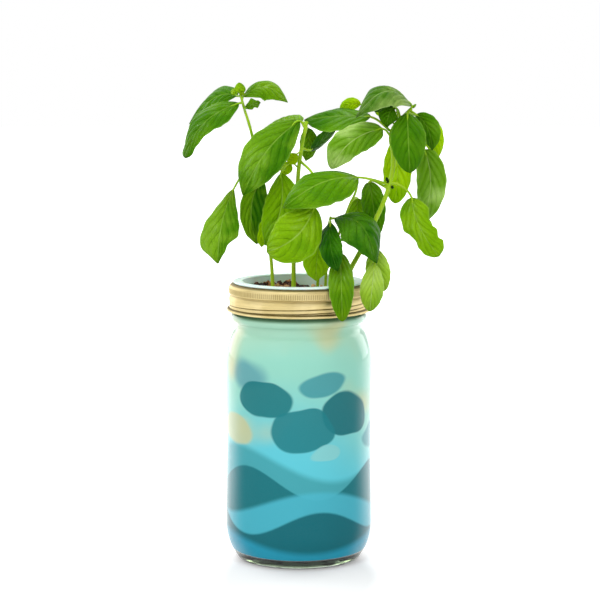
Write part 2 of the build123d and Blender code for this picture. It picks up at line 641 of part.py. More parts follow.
def main():
    os.makedirs("parts", exist_ok=True)
    pieces = {
        "glass_jar": glass_jar(),
        "printed_sleeve": printed_sleeve(),
        "screw_band": screw_band(),
        "net_pot": net_pot(),
        "capillary_wick": capillary_wick(),
        "growing_medium": growing_medium(),
        "husk_chips": husk_chips(),
        "carbon_granules": carbon_granules(),
        "buds": buds(),
    }
    for name in stem_shares:
        pieces[name] = stem(name)
    for name in leaf_shares:
        pieces[name] = leaf(name)
    for name, shape in pieces.items():
        export_step(shape, f"parts/{name}.step")


main()
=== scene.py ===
from cmath import phase, rect
from math import atan2, cos, exp, floor, log, pi, radians, sin, sqrt, tau

import bmesh
import bpy
from mathutils import Euler, Matrix, Vector, noise


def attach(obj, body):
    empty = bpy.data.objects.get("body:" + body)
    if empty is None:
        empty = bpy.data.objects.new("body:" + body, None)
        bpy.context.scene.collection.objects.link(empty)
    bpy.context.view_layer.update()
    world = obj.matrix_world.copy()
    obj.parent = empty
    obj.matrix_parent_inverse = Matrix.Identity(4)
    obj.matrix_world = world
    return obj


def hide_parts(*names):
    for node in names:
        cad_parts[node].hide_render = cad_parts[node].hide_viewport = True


# A jar planter that waters its herb by itself, dressed for a studio picture.
# Lengths are written in millimetres and multiplied by MM; +Z is up, the viewer looks along +Y.

MM = 0.001
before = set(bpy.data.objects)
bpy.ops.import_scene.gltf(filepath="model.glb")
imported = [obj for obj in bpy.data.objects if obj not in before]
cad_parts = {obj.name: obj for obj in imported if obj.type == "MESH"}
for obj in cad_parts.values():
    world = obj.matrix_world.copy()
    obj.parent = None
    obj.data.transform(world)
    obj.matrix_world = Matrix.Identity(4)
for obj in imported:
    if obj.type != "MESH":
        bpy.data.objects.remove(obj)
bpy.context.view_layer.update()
bpy.ops.object.select_all(action="DESELECT")

# Heights above the floor.
HEEL_TOP = 22
SHOULDER_FOOT = 127
JAR_TOP = 178.4
BAND_TOP = 179
RIM_TOP = 180.5
MEDIUM_TOP = 171.5
POT_FLOOR = 114
FILM_TOP = 162.6

JAR_RADIUS = 47.05
JAR_WALL = 3
THREAD_PITCH = 6.35
FLUTES = 200

# The herb: the unit of its places, the share of it below which a leaf is small, and how thick
# a blade is. The golden angle is the turn from one seed to the next in a flower's head.
REACH = 97.5
SMALL_LEAF = 0.11
LEAF_THICKNESS = 0.34
GOLDEN_ANGLE = 2.39996

# Side veins of a leaf: pairs, how far they run towards the tip on their way out, and how they bend.
VEIN_PAIRS = 5
VEIN_SWEEP = 0.5
VEIN_BEND = 1.2


# Shader helpers

def wire(value, socket):
    """Puts a number, a colour or another node's output into a socket."""
    if isinstance(value, bpy.types.NodeSocket):
        socket.id_data.links.new(value, socket)
    else:
        socket.default_value = value


def new_node(kind, values, tree=None, **settings):
    """A shader node with its settings and, by number or name, what goes into its sockets. Where
    no tree is given, it joins the tree of the outputs among its values."""
    if tree is None:
        tree = next(value.id_data for value in values.values() if isinstance(value, bpy.types.NodeSocket))
    node = tree.nodes.new("ShaderNode" + kind)
    for setting, value in settings.items():
        setattr(node, setting, value)
    for socket, value in values.items():
        wire(value, node.inputs[socket])
    return node


def calc(operation, *values, clamp=False):
    return new_node("Math", dict(enumerate(values)), operation=operation, use_clamp=clamp).outputs[0]


def times(first, second, clamp=False):
    return calc("MULTIPLY", first, second, clamp=clamp)


def scaled(value, factor, offset):
    """A value times a factor, plus an offset."""
    return calc("MULTIPLY_ADD", value, factor, offset)


def soft_step(value, low, high):
    """0 below low, 1 above high and a smooth rise between; low may be the larger."""
    values = dict(enumerate((value, low, high, 0, 1)))
    return new_node("MapRange", values, interpolation_type="SMOOTHSTEP").outputs[0]


def shade_of(colour):
    """A colour for a shader. Three values are a colour as it looks on screen, 0 to 255; four
    values, or a node's output, are what the shader takes already."""
    if isinstance(colour, bpy.types.NodeSocket) or len(colour) == 4:
        return colour
    shares = [level / 255 for level in colour]
    light = [share / 12.92 if share <= 0.04045 else ((share + 0.055) / 1.055) ** 2.4 for share in shares]
    return (*light, 1)


def blend(share, first, second, mode="MIX"):
    """The first colour where the share is 0, the second where it is 1."""
    values = {0: share, 6: shade_of(first), 7: shade_of(second)}
    return new_node("Mix", values, data_type="RGBA", blend_type=mode).outputs[2]


def laid_over(colour, paint, mask, share):
    """A colour with a paint laid over it where a mask is 1, at a share of its full strength."""
    return blend(times(mask, share), colour, paint)


def noise_of(where, scale, detail, output="Fac"):
    return new_node("TexNoise", {"Vector": where, "Scale": scale, "Detail": detail}).outputs[output]


def place_on_piece(shader, kind="Object"):
    return shader.id_data.nodes.new("ShaderNodeTexCoord").outputs[kind]


def axes_of(place):
    return new_node("SeparateXYZ", {0: place}).outputs


def stretched(place, size):
    return new_node("Mapping", {"Vector": place, "Scale": size}).outputs[0]


def length_of(place):
    return new_node("VectorMath", {0: place}, operation="LENGTH").outputs["Value"]


def distance_share(place, middle, half_sizes):
    """How far a place is from a middle, as a share: 1 on the round form with these half sizes."""
    values = {"Vector": place, "Location": Vector(middle) * MM, "Scale": Vector(half_sizes) * MM}
    return length_of(new_node("Mapping", values, vector_type="TEXTURE").outputs[0])


def feed(shader, **values):
    """Puts values into a shader's sockets, which are named in small letters."""
    for name, value in values.items():
        wire(value, shader.inputs[name.replace("_", " ").title().replace("Ior", "IOR")])


def new_finish(name, roughness, **values):
    """A material and its Principled shader, with values for the shader's sockets."""
    material = bpy.data.materials.new(name)
    material.use_nodes = True
    shader = material.node_tree.nodes["Principled BSDF"]
    feed(shader, roughness=roughness, **values)
    return material, shader


def bump(shader, height, strength, distance_mm):
    node = new_node("Bump", {"Strength": strength, "Distance": distance_mm * MM, "Height": height})
    feed(shader, normal=node.outputs[0])


def open_group(name, **inputs):
    """A new node group and the outputs that bring in what the group is given."""
    group = bpy.data.node_groups.new(name, "ShaderNodeTree")
    for socket, kind in inputs.items():
        group.interface.new_socket(socket, in_out="INPUT", socket_type="NodeSocket" + kind)
    return group, group.nodes.new("NodeGroupInput").outputs


def close_group(group, results):
    """Gives a node group its named results, which are numbers."""
    for socket in results:
        group.interface.new_socket(socket, in_out="OUTPUT", socket_type="NodeSocketFloat")
    end = group.nodes.new("NodeGroupOutput")
    for socket, value in results.items():
        wire(value, end.inputs[socket])
    return group


def make_vein_group():
    """Veins of a leaf from its own UV map: u across the blade, v from stalk to tip."""
    group, given = open_group("Leaf veins", UV="Vector")
    sideways, lengthways, _ = axes_of(given["UV"])
    across = calc("ABSOLUTE", scaled(sideways, 2, -1))
    swept = times(calc("POWER", across, VEIN_BEND), VEIN_SWEEP)
    place = times(calc("SUBTRACT", lengthways, swept), VEIN_PAIRS)
    part = calc("FRACT", calc("ADD", place, 20))
    gap = calc("MINIMUM", part, calc("SUBTRACT", 1, part))
    fade = calc("SUBTRACT", 1, times(across, 0.75))
    side = times(soft_step(gap, 0.07, 0.015), fade, clamp=True)
    middle = soft_step(across, 0.055, 0.012)
    quilt = times(soft_step(gap, 0, 0.5), fade)
    cells = new_node("TexVoronoi", {"Vector": given["UV"], "Scale": 16}, feature="DISTANCE_TO_EDGE")
    net = soft_step(cells.outputs["Distance"], 0.16, 0)
    height = calc("SUBTRACT", quilt, times(calc("MAXIMUM", side, middle), 0.55))
    return close_group(group, {
        "Side veins": side,
        "Midrib": middle,
        "Shaded_half": soft_step(sideways, 0.44, 0.56),
        "Quilting": quilt,
        "Rim": soft_step(across, 0.9, 1),
        "Net": net,
        "Height": calc("SUBTRACT", height, times(net, 0.25)),
    })


def make_mottle_group():
    """Slow and fine changes of tone on any surface."""
    group, given = open_group("Mottle", Place="Vector", Slow="Float", Fine="Float")
    return close_group(group, {
        "Tone": noise_of(given["Place"], given["Slow"], 4),
        "Grain": noise_of(given["Place"], given["Fine"], 4),
    })


VEINS = make_vein_group()
MOTTLE = make_mottle_group()


def group_on(shader, group, *values):
    return new_node("Group", dict(enumerate(values)), shader.id_data, node_tree=group).outputs


def mottle_on(shader, slow, fine):
    """The slow tone and the fine grain on a piece."""
    return group_on(shader, MOTTLE, place_on_piece(shader), slow, fine)


# Finishes

def leaf_finish(name, body, light, midrib, glow, glow_share, roughness=0.34, half=None, gloss=0.7):
    """The skin of a leaf: its body colour, lighter places that paint sheen on some tints, a painted
    highlight on the swellings between the veins, side veins darkened as painted shade, the midrib,
    and the colour of the light that comes through from behind. Where half is given, it is the body
    colour of the half on the right of the midrib, darker as painted shade."""
    material, shader = new_finish(
        name, roughness, specular_ior_level=0.05, coat_roughness=0.15, coat_ior=1.45)
    veins = group_on(shader, VEINS, place_on_piece(shader, "UV"))
    tone, grain = mottle_on(shader, 45, 900)
    # The half on the right of the midrib is painted darker, as shade.
    if half:
        body = blend(veins["Shaded_half"], body, half)
    # Lighter places at random; on the dark, silk and pale tints they paint sheen.
    colour = blend(soft_step(tone, 0.42, 0.62), body, light)
    # Painted highlight on the swellings between the veins.
    colour = laid_over(colour, light, veins["Quilting"], 0.22)
    shadier = soft_step(noise_of(place_on_piece(shader), 38, 1), 0.5, 0.7)
    deeper = blend(1, colour, (0.5, 0.68, 0.4, 1), "MULTIPLY")
    colour = laid_over(colour, deeper, shadier, 0.75)
    dark = blend(1, colour, (0.5, 0.62, 0.4, 1), "MULTIPLY")
    # The side veins and their fine net are darkened as painted shade in their sunken lines; the rim and the
    # midrib take the paler midrib colour.
    for part, paint, share in (
        ("Net", dark, 0.2), ("Side veins", dark, 0.36), ("Rim", midrib, 0.45), ("Midrib", midrib, 0.6),
    ):
        colour = laid_over(colour, paint, veins[part], share)
    blister = times(veins["Quilting"], soft_step(tone, 0.5, 0.62))
    shade = scaled(grain, 0.16, roughness - 0.08)
    feed(shader, base_color=colour, roughness=shade, coat_weight=times(blister, gloss))
    bump(shader, veins["Height"], 0.9, 0.8)
    through = new_node("BsdfTranslucent", {0: laid_over(glow, dark, veins["Side veins"], 0.6)})
    both = new_node("MixShader", {0: glow_share, 1: shader.outputs[0], 2: through.outputs[0]})
    wire(both.outputs[0], shader.id_data.nodes["Material Output"].inputs[0])
    return material


# Each tint of leaf: its body, its lighter places, its midrib, its glow and the glow's share.
# The tints are partly the leaves' own greens and partly painted light: deep and dark paint the
# shade on leaves within the herb; lime, lit and glow paint light on leaves in shade or lit from
# behind; the lighter places of dark, silk and pale paint sheen.
LEAF_TINTS = {
    "deep": ((28, 92, 0), (66, 130, 8), (84, 142, 40), (60, 140, 0), 0.06),
    "dark": ((36, 100, 0), (78, 136, 14), (98, 152, 40), (96, 166, 0), 0.1),
    "silk": ((68, 120, 8), (138, 168, 82), (154, 190, 108), (110, 176, 0), 0.12),
    "olive": ((70, 129, 2), (94, 148, 6), (140, 188, 62), (116, 180, 0), 0.16),
    "mid": ((88, 146, 2), (108, 162, 8), (150, 196, 70), (134, 194, 0), 0.18),
    "split": ((116, 166, 18), (136, 182, 38), (156, 202, 80), (138, 196, 0), 0.2),
    "part": ((96, 148, 8), (116, 166, 24), (146, 192, 70), (130, 190, 0), 0.18),
    "fold": ((124, 172, 16), (142, 188, 30), (156, 200, 80), (138, 196, 0), 0.25),
    "fresh": ((106, 156, 4), (128, 174, 16), (158, 202, 80), (156, 208, 0), 0.2),
    "bright": ((126, 178, 4), (142, 190, 14), (172, 212, 84), (172, 216, 0), 0.22),
    "pale": ((104, 156, 16), (170, 205, 104), (192, 222, 124), (186, 224, 10), 0.24),
    "lime": ((172, 212, 56), (190, 224, 92), (212, 236, 146), (208, 240, 30), 0.28),
    "lit": ((160, 208, 20), (176, 220, 34), (178, 216, 84), (210, 244, 0), 0.4),
    "glow": ((186, 228, 0), (198, 234, 6), (208, 236, 80), (228, 252, 0), 0.35),
}
# The right half of these tints takes a darker body: painted shade on one side of the midrib.
SHADED_HALVES = {"split": (76, 136, 2), "part": (60, 120, 0), "fold": (34, 96, 2)}
GLOSS = {"deep": 0.25, "dark": 0.25, "olive": 0.5}
LEAF = {
    tint: leaf_finish("leaf_" + tint, *shades, half=SHADED_HALVES.get(tint), gloss=GLOSS.get(tint, 0.7))
    for tint, shades in LEAF_TINTS.items()
}
BACK_DARK = leaf_finish(
    "leaf_back_dark", (78, 130, 30), (98, 146, 48), (140, 180, 96), (110, 164, 10), 0.2, 0.55)
BACK_FRESH = leaf_finish(
    "leaf_back_fresh", (120, 168, 40), (142, 184, 62), (176, 208, 104), (150, 200, 20), 0.3, 0.55)


def back_of(tint):
    """The finish of a leaf's underside, darker for the deep and dark tints as painted shade. Leaves
    that hang turned over look alike on both sides.
    """
    if tint in ("lit", "fold"):
        return LEAF[tint]
    return BACK_DARK if tint in ("deep", "dark") else BACK_FRESH


def stem_finish():
    material, shader = new_finish(
        "stem_green", 0.4, specular_ior_level=0.15, subsurface_weight=0.1, subsurface_scale=1.5 * MM)
    tone, grain = mottle_on(shader, 90, 1400)
    height = axes_of(place_on_piece(shader))[2]
    colour = blend(soft_step(height, 0.2, 0.29), (150, 188, 26), (128, 176, 14))
    colour = blend(soft_step(tone, 0.35, 0.7), colour, (166, 200, 40))
    feed(shader, base_color=colour)
    bump(shader, grain, 0.25, 0.2)
    return material


def glass_finish():
    """Clear glass. Going up its thick heel, which is seen edge on, it turns olive, dark and clear:
    the olive is partly the glass's own green and partly painted shade, the dark band is painted
    shade of the jar's shaded inside seen through the heel.
    """
    material, shader = new_finish(
        "jar_glass", 0.02, transmission_weight=1, ior=1.5, specular_ior_level=0.5)
    clear, olive, dark = (0.93, 0.985, 0.965, 1), (0.42, 0.56, 0.3, 1), (0.02, 0.03, 0.02, 1)
    streaks = noise_of(place_on_piece(shader), 90, 2)
    height = scaled(streaks, MM, axes_of(place_on_piece(shader))[2])
    colour = clear
    # Painted shade going up the heel: olive, then dark, then clear again.
    for low, high, shade in ((1.5, 2.1, olive), (2.7, 3.2, dark), (6, 7, clear)):
        colour = blend(soft_step(height, low * MM, high * MM), colour, shade)
    feed(shader, base_color=colour)
    bump(shader, mottle_on(shader, 28, 160)[0], 0.05, 0.5)
    return material


# The rolling bands of the print: middle height, swing, waves round the jar, their turn, softness
# of the edge, paint and share.
PRINT_BANDS = (
    (68, 11, 2, 0.4, 3, (56, 146, 154), 0.8),
    (56, 10, 3, 2.3, 0.8, (10, 106, 114), 0.95),
    (42, 9, 2, 4.2, 2, (70, 172, 190), 0.9),
    (30, 8, 3, 5.4, 1, (3, 96, 106), 0.97),
    (16, 5, 2, 1.2, 3, (34, 148, 176), 0.9),
)
# The pebbles of the print: middle (right, back, up), half width, half height, softness of the
# edge, paint and share.
PRINT_PEBBLES = (
    ((-33, -34, 125), 14, 9.5, 0.35, (76, 142, 156), 0.75),
    ((-21, -42, 110), 20, 12.5, 0.05, (14, 112, 118), 0.95),
    ((16, -44, 119), 15, 9, 0.1, (52, 138, 148), 0.85),
    ((31, -36, 101), 18, 12, 0.06, (6, 102, 110), 0.95),
    ((2, -47, 92), 22, 12, 0.05, (20, 118, 126), 0.93),
    ((-39, -26, 86), 16, 10, 0.12, (186, 190, 146), 0.85),
    ((18, -43, 77), 11, 6, 0.1, (128, 196, 196), 0.9),
    ((45, -12, 84), 13, 9, 0.15, (50, 138, 148), 0.9),
    ((40, 24, 104), 19, 12, 0.06, (16, 112, 118), 0.9),
    ((8, 46, 112), 21, 12.5, 0.05, (16, 112, 118), 0.95),
    ((-28, 38, 100), 17, 11, 0.08, (70, 150, 158), 0.9),
    ((-46, 10, 110), 17, 11, 0.12, (30, 124, 134), 0.9),
)


def sleeve_finish():
    """The printed film: a soft wash of colour with rolling bands and pebbles, and a painted shadow
    under the band.
    """
    material, shader = new_finish(
        "sleeve_film", 0.4, specular_ior_level=0.02, coat_roughness=0.05, coat_ior=1.5)
    place = place_on_piece(shader)
    right, back, height = axes_of(place)
    wander = noise_of(place, 22, 1)
    washed = calc("ADD", height, scaled(noise_of(place, 11, 0), 0.07, -0.035))
    colour = (46, 168, 198)
    for low, high, paint in (
        (12, 55, (90, 192, 206)), (55, 112, (142, 204, 186)), (112, 150, (162, 206, 182)),
    ):
        colour = blend(soft_step(washed, low * MM, high * MM), colour, paint)
    cream = times(soft_step(wander, 0.56, 0.72), soft_step(height, 0.07, 0.1))
    colour = blend(cream, colour, (188, 194, 148))

    angle = calc("ARCTAN2", back, right)
    for middle, swing, waves, turn, edge, paint, share in PRINT_BANDS:
        line = scaled(calc("SINE", scaled(angle, waves, turn)), swing * MM, middle * MM)
        below = soft_step(calc("SUBTRACT", line, height), -edge * MM, edge * MM)
        colour = laid_over(colour, paint, below, share)

    drift = 16
    values = {0: noise_of(place, 30, 1, "Color"), 1: (drift * MM, drift * MM, drift * MM), 2: place}
    drifted = new_node("VectorMath", values, operation="MULTIPLY_ADD").outputs[0]
    for middle, wide, tall, edge, paint, share in PRINT_PEBBLES:
        middle = [side + drift / 2 for side in middle]
        inside = soft_step(distance_share(drifted, middle, (wide, wide, tall)), 1 + edge, 1 - edge)
        colour = laid_over(colour, paint, inside, share)

    # Painted shadow of the band on the neck, just under its rolled edge.
    shaded = soft_step(height, 157.2 * MM, 159.4 * MM)
    colour = laid_over(colour, (56, 102, 58), shaded, 0.8)
    fine = noise_of(place, 2600, 2)
    cut_edge = soft_step(height, 6.1 * MM, 5.5 * MM)
    speckled = blend(soft_step(fine, 0.4, 0.6), (84, 74, 58), (190, 176, 148))
    colour = blend(cut_edge, colour, speckled)
    colour = laid_over(colour, (210, 232, 232), fine, 0.025)
    grazing = new_node("LayerWeight", {"Blend": 0.5}, shader.id_data).outputs["Facing"]
    gloss = scaled(soft_step(grazing, 0.34, 0.62), 0.7, 0.06)
    feed(shader, base_color=colour, roughness=scaled(fine, 0.1, 0.3), coat_weight=gloss)
    bump(shader, wander, 0.05, 0.3)
    return material


def band_finish():
    """Gold lacquer on metal, rubbed along the band, with painted shade in its flutes, grooves and
    thread, under the flange and above the curl.
    """
    material, shader = new_finish("band_lacquer", 0.3, metallic=1)
    tone, grain = mottle_on(shader, 60, 2200)
    rubbed = noise_of(stretched(place_on_piece(shader), (1, 1, 26)), 110, 4)
    colour = blend(soft_step(tone, 0.35, 0.68), (190, 173, 121), (204, 188, 139))
    colour = laid_over(colour, (160, 136, 78), soft_step(rubbed, 0.55, 0.75), 0.3)
    # Painted shade read from the band's mesh, darkest in its hollows and under the flange.
    band_shade = new_node("Attribute", {}, shader.id_data, attribute_name="band_shade").outputs["Fac"]
    colour = blend(band_shade, colour, (84, 72, 24))
    feed(shader, base_color=colour, roughness=scaled(rubbed, 0.2, 0.45))
    bump(shader, grain, 0.06, 0.1)
    return material


def pot_finish():
    material, shader = new_finish(
        "pot_plastic", 0.36, subsurface_weight=0.2, subsurface_scale=2 * MM, specular_ior_level=0.5)
    tone, grain = mottle_on(shader, 40, 1800)
    colour = blend(soft_step(tone, 0.3, 0.7), (206, 230, 222), (216, 236, 230))
    feed(shader, base_color=colour, roughness=scaled(grain, 0.14, 0.3))
    bump(shader, grain, 0.12, 0.15)
    return material


def rough_finish(name, first, second, third, slow, fine, depth_mm, roughness=0.9):
    """A coarse natural surface of three tones: fibre, husk or carbon."""
    material, shader = new_finish(name, roughness, specular_ior_level=0.3)
    tone, grain = mottle_on(shader, slow, fine)
    colour = blend(soft_step(tone, 0.36, 0.58), first, second)
    colour = blend(soft_step(grain, 0.52, 0.68), colour, third)
    feed(shader, base_color=colour, roughness=scaled(grain, 0.3, roughness - 0.15))
    bump(shader, grain, 0.9, depth_mm)
    return material


def felt_finish():
    material, shader = new_finish("wick_felt", 0.95, sheen_weight=0.6, sheen_roughness=0.5)
    tone = mottle_on(shader, 220, 2600)[0]
    strands = noise_of(stretched(place_on_piece(shader), (1, 1, 0.12)), 2400, 3)
    colour = blend(tone, (226, 222, 208), (202, 196, 180))
    colour = blend(soft_step(strands, 0.55, 0.72), colour, (240, 238, 230))
    feed(shader, base_color=colour)
    bump(shader, strands, 0.8, 0.35)
    return material


STEM = stem_finish()
BUD = leaf_finish("bud_green", (160, 206, 14), (178, 220, 40), (186, 222, 80), (190, 230, 10), 0.3)
BUD_DARK = leaf_finish("bud_dark", (38, 72, 20), (56, 96, 28), (96, 130, 60), (60, 110, 20), 0.2)
GLASS = glass_finish()
SLEEVE = sleeve_finish()
BAND = band_finish()
POT = pot_finish()
FIBRE = rough_finish("medium_fibre", (70, 48, 32), (104, 74, 48), (150, 116, 80), 260, 1500, 0.8)
HUSK = rough_finish("chip_husk", (92, 52, 28), (150, 100, 58), (214, 170, 110), 260, 900, 0.9)
HUSK_DARK = rough_finish("chip_husk_dark", (24, 16, 16), (62, 36, 26), (120, 82, 52), 280, 900, 0.9)
HUSK_TAN = rough_finish("chip_husk_tan", (140, 96, 54), (200, 156, 100), (232, 200, 148), 260, 900, 0.8)
STRAND = rough_finish("strand_husk", (120, 86, 54), (160, 122, 80), (190, 152, 104), 200, 1600, 0.3)
CARBON = rough_finish("granule_carbon", (22, 22, 24), (34, 34, 37), (62, 62, 66), 300, 1800, 0.5, 0.7)
FELT = felt_finish()
# The inner face of the film, painted dark as the shade inside the jar.
SLEEVE_BACK_SHADE = rough_finish("sleeve_back_shade", (40, 58, 48), (52, 70, 58), (70, 88, 70), 60, 700, 0.1, 0.7)


# Modelling helpers

def select_only(obj):
    bpy.ops.object.select_all(action="DESELECT")
    obj.select_set(True)
    bpy.context.view_layer.objects.active = obj


def start_editing(obj):
    select_only(obj)
    bpy.ops.object.mode_set(mode="EDIT")


def stop_editing():
    bpy.ops.object.mode_set(mode="OBJECT")


def select_parts(obj, kind, chosen):
    """Opens a piece for editing, with those of its edges or faces selected that chosen picks."""
    start_editing(obj)
    for part in getattr(bmesh.from_edit_mesh(obj.data), kind):
        part.select_set(chosen(part))
    bmesh.update_edit_mesh(obj.data)


def select_mesh():
    bpy.ops.mesh.select_all(action="SELECT")


def link(obj):
    bpy.context.scene.collection.objects.link(obj)


def apply_modifier(obj, kind, **settings):
    modifier = obj.modifiers.new(kind.title(), kind)
    for setting, value in settings.items():
        setattr(modifier, setting, value)
    bpy.context.view_layer.objects.active = obj
    bpy.ops.object.modifier_apply(modifier=modifier.name)


def dress(obj, name, body, finishes, stands_for=()):
    """Names a finished piece, gives it its finishes and hands it to the frame."""
    obj.name = name
    obj.data.name = name
    for finish in finishes:
        obj.data.materials.append(finish)
    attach(obj, body)
    if stands_for:
        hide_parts(*stands_for)


def smooth(obj, degrees):
    select_only(obj)
    bpy.ops.object.shade_smooth_by_angle(angle=radians(degrees))


def outward_of(place):
    """The level direction from the jar's axis to a place."""
    return Vector((place.x, place.y, 0)).normalized()


def arc_points(first, through, last, count):
    """Points on the arc through three points of a profile, the first left out."""
    a, b, c = complex(*first), complex(*through), complex(*last)
    skew = (c - a) / (b - a)
    centre = a + (b - a) * (skew - abs(skew) ** 2) / (2j * skew.imag)
    middle = phase((b - centre) / (a - centre)) % tau
    sweep = phase((c - centre) / (a - centre)) % tau
    if middle > sweep:
        sweep -= tau
    points = [centre + (a - centre) * rect(1, sweep * i / count) for i in range(1, count + 1)]
    return [(point.real, point.imag) for point in points]


def turned(profile, steps, base=0, closed=True):
    """Extrudes a profile of (radius, height above the base) point by point and spins it about Z."""
    bpy.ops.mesh.primitive_plane_add(size=MM)
    obj = bpy.context.object
    start_editing(obj)
    bpy.ops.mesh.merge(type="CENTER")
    bpy.ops.transform.translate(value=(profile[0][0] * MM, 0, (profile[0][1] + base) * MM))
    for (r0, z0), (r1, z1) in zip(profile, profile[1:]):
        step = {"value": ((r1 - r0) * MM, 0, (z1 - z0) * MM)}
        bpy.ops.mesh.extrude_region_move(TRANSFORM_OT_translate=step)
    select_mesh()
    if closed:
        bpy.ops.mesh.edge_face_add()
        bpy.ops.mesh.delete(type="ONLY_FACE")
        select_mesh()
    bpy.ops.mesh.spin(steps=steps, angle=tau, center=(0, 0, 0), axis=(0, 0, 1))
    select_mesh()
    bpy.ops.mesh.remove_doubles(threshold=0.005 * MM)
    bpy.ops.mesh.normals_make_consistent(inside=False)
    stop_editing()
    return obj


def move_points(obj, moved):
    """Moves each vertex to where moved(place) says."""
    for vertex in obj.data.vertices:
        vertex.co = moved(vertex.co.copy())


def joined(pieces):
    bpy.ops.object.select_all(action="DESELECT")
    for piece in pieces:
        piece.select_set(True)
    bpy.context.view_layer.objects.active = pieces[0]
    bpy.ops.object.join()
    return pieces[0]


def settle(obj):
    """Puts an object's place into its mesh, so that the object sits at the origin."""
    select_only(obj)
    bpy.ops.object.transform_apply(location=True, rotation=True, scale=True)


def lump_shape(seed, roughness):
    """A broken lump one unit long: a cube cut fine, rounded and pushed about by noise."""
    bpy.ops.mesh.primitive_cube_add(size=1)
    obj = bpy.context.object
    start_editing(obj)
    bpy.ops.mesh.subdivide(number_cuts=2, smoothness=0.6)
    stop_editing()
    offset = Vector((seed * 3.1, seed * 1.7, seed * 2.3))
    for vertex in obj.data.vertices:
        push = noise.noise(vertex.co * 1.9 + offset) * 2 + noise.noise(vertex.co * 4.3 + offset)
        vertex.co *= 1 + push * roughness
    return obj


def copy_of(shape, place, size, turn):
    """A copy of a shape with its own mesh, sized and turned at its place. Millimetres, degrees."""
    obj = shape.copy()
    obj.data = shape.data.copy()
    link(obj)
    turning = Euler([radians(angle) for angle in turn]).to_matrix().to_4x4()
    sizing = Matrix.Diagonal([side * MM for side in size] + [1])
    obj.data.transform(Matrix.Translation(Vector(place) * MM) @ turning @ sizing)
    return obj


def put_away(shapes):
    """Removes the shapes that only served to be copied."""
    for shape in shapes:
        bpy.data.objects.remove(shape)


def draw(*place):
    """A number between -1 and 1 from the noise at a place, the same each time."""
    return noise.noise(Vector(place))


def seed_place(index, number, count):
    """Where one of a number of pieces lies in a disc of radius 1, spread like seeds in a flower's
    head. The count sets its direction."""
    share = sqrt((index + 0.5) / number)
    return share * cos(count * GOLDEN_ANGLE), share * sin(count * GOLDEN_ANGLE)


# Jar, sleeve, band, pot

def jar_profile(out, low):
    """The jar's outer side, moved out, from a height near the foot up to the top of its neck bead."""
    side = (JAR_RADIUS, HEEL_TOP)
    heel = arc_points(side, (45.37, 11), (41, 1.8), 12)
    heel = [point for point in heel if point[1] > low][::-1]
    tall = SHOULDER_FOOT - HEEL_TOP
    waist = [
        (JAR_RADIUS - 0.45 * sin(pi * i / 8) ** 2, HEEL_TOP + tall * i / 8) for i in range(1, 9)]
    shoulder = arc_points((JAR_RADIUS, SHOULDER_FOOT), (45.87, 137.4), (42.35, 147.3), 10)
    neck = arc_points((42.35, 147.3), (40.4, 152.2), (41, 153.9), 8)
    bead = arc_points((41, 153.9), (43.55, 157.2), (41.5, 160.4), 10)
    return [(radius + out, height) for radius, height in heel + [side] + waist + shoulder + neck + bead]


def make_jar():
    inner = JAR_RADIUS - JAR_WALL
    outer = [(35.4, 0), (38.2, 0), (39.4, 0.15), (40.4, 0.7)] + jar_profile(0, 1.7)
    finish = [(41.5, 164), (41.5, 176.6), (41.1, 177.9), (40.2, JAR_TOP), (39.4, JAR_TOP)]
    finish += [(38.5, 177.9), (38.1, 176.6), (38.1, 158), (38.1, 152.2)]
    inside = arc_points((38.1, 152.2), (42.4, 140), (inner, SHOULDER_FOOT), 8)
    inside += [(inner, 100), (inner, 60), (inner, HEEL_TOP)]
    inside += arc_points((inner, HEEL_TOP), (41.6, 12), (36.5, 5.5), 8)
    base = [(24, 5.5), (0, 5.5), (0, 2.5), (14, 2.1), (27, 1.05), (33.5, 0.3)]
    obj = turned(outer + finish + inside + base, 192)

    thread_foot, laps, half_width, relief = 164.6, 1.2, 1.3, 1.1

    def on_finish(edge):
        tall = abs(edge.verts[0].co.z - edge.verts[1].co.z) > 8 * MM
        return tall and all(v.co.z > 163 * MM and v.co.xy.length > 41.2 * MM for v in edge.verts)

    def raise_thread(at):
        """The helical ridge on the finish, from nothing to its crest and back."""
        height = at.z / MM
        if at.xy.length / MM < 41 or not 162 < height < 176.4:
            return at
        turn = (atan2(at.y, at.x) % tau) / tau
        rise = 0
        for lap in range(3):
            wound = turn + lap
            share = min(1, wound / 0.1, (laps - wound) / 0.1)
            away = abs(height - thread_foot - THREAD_PITCH * wound)
            rise = max(rise, share * max(0, 1 - away / half_width))
        return at + outward_of(at) * (relief * rise * MM)

    select_parts(obj, "edges", on_finish)
    bpy.ops.mesh.subdivide(number_cuts=24)
    stop_editing()
    move_points(obj, raise_thread)
    smooth(obj, 50)
    dress(obj, "jar_glass_body", "jar", [GLASS], ["glass_jar"])


def make_sleeve():
    """The film from just above the heel up to behind the band's rolled edge."""
    outer = jar_profile(0.25, 5) + [(41.75, FILM_TOP)]
    inner = [(41.55, FILM_TOP)] + jar_profile(0.05, 5)[::-1]
    obj = turned(outer + inner, 144)
    apply_modifier(obj, "SUBSURF", levels=1, render_levels=1)
    smooth(obj, 60)
    dress(obj, "sleeve_print", "jar", [SLEEVE, SLEEVE_BACK_SHADE], ["printed_sleeve"])
    # Faces turned towards the jar's inside take the painted shade.
    for polygon in obj.data.polygons:
        polygon.material_index = int(polygon.normal.dot(outward_of(polygon.center)) < -0.2)


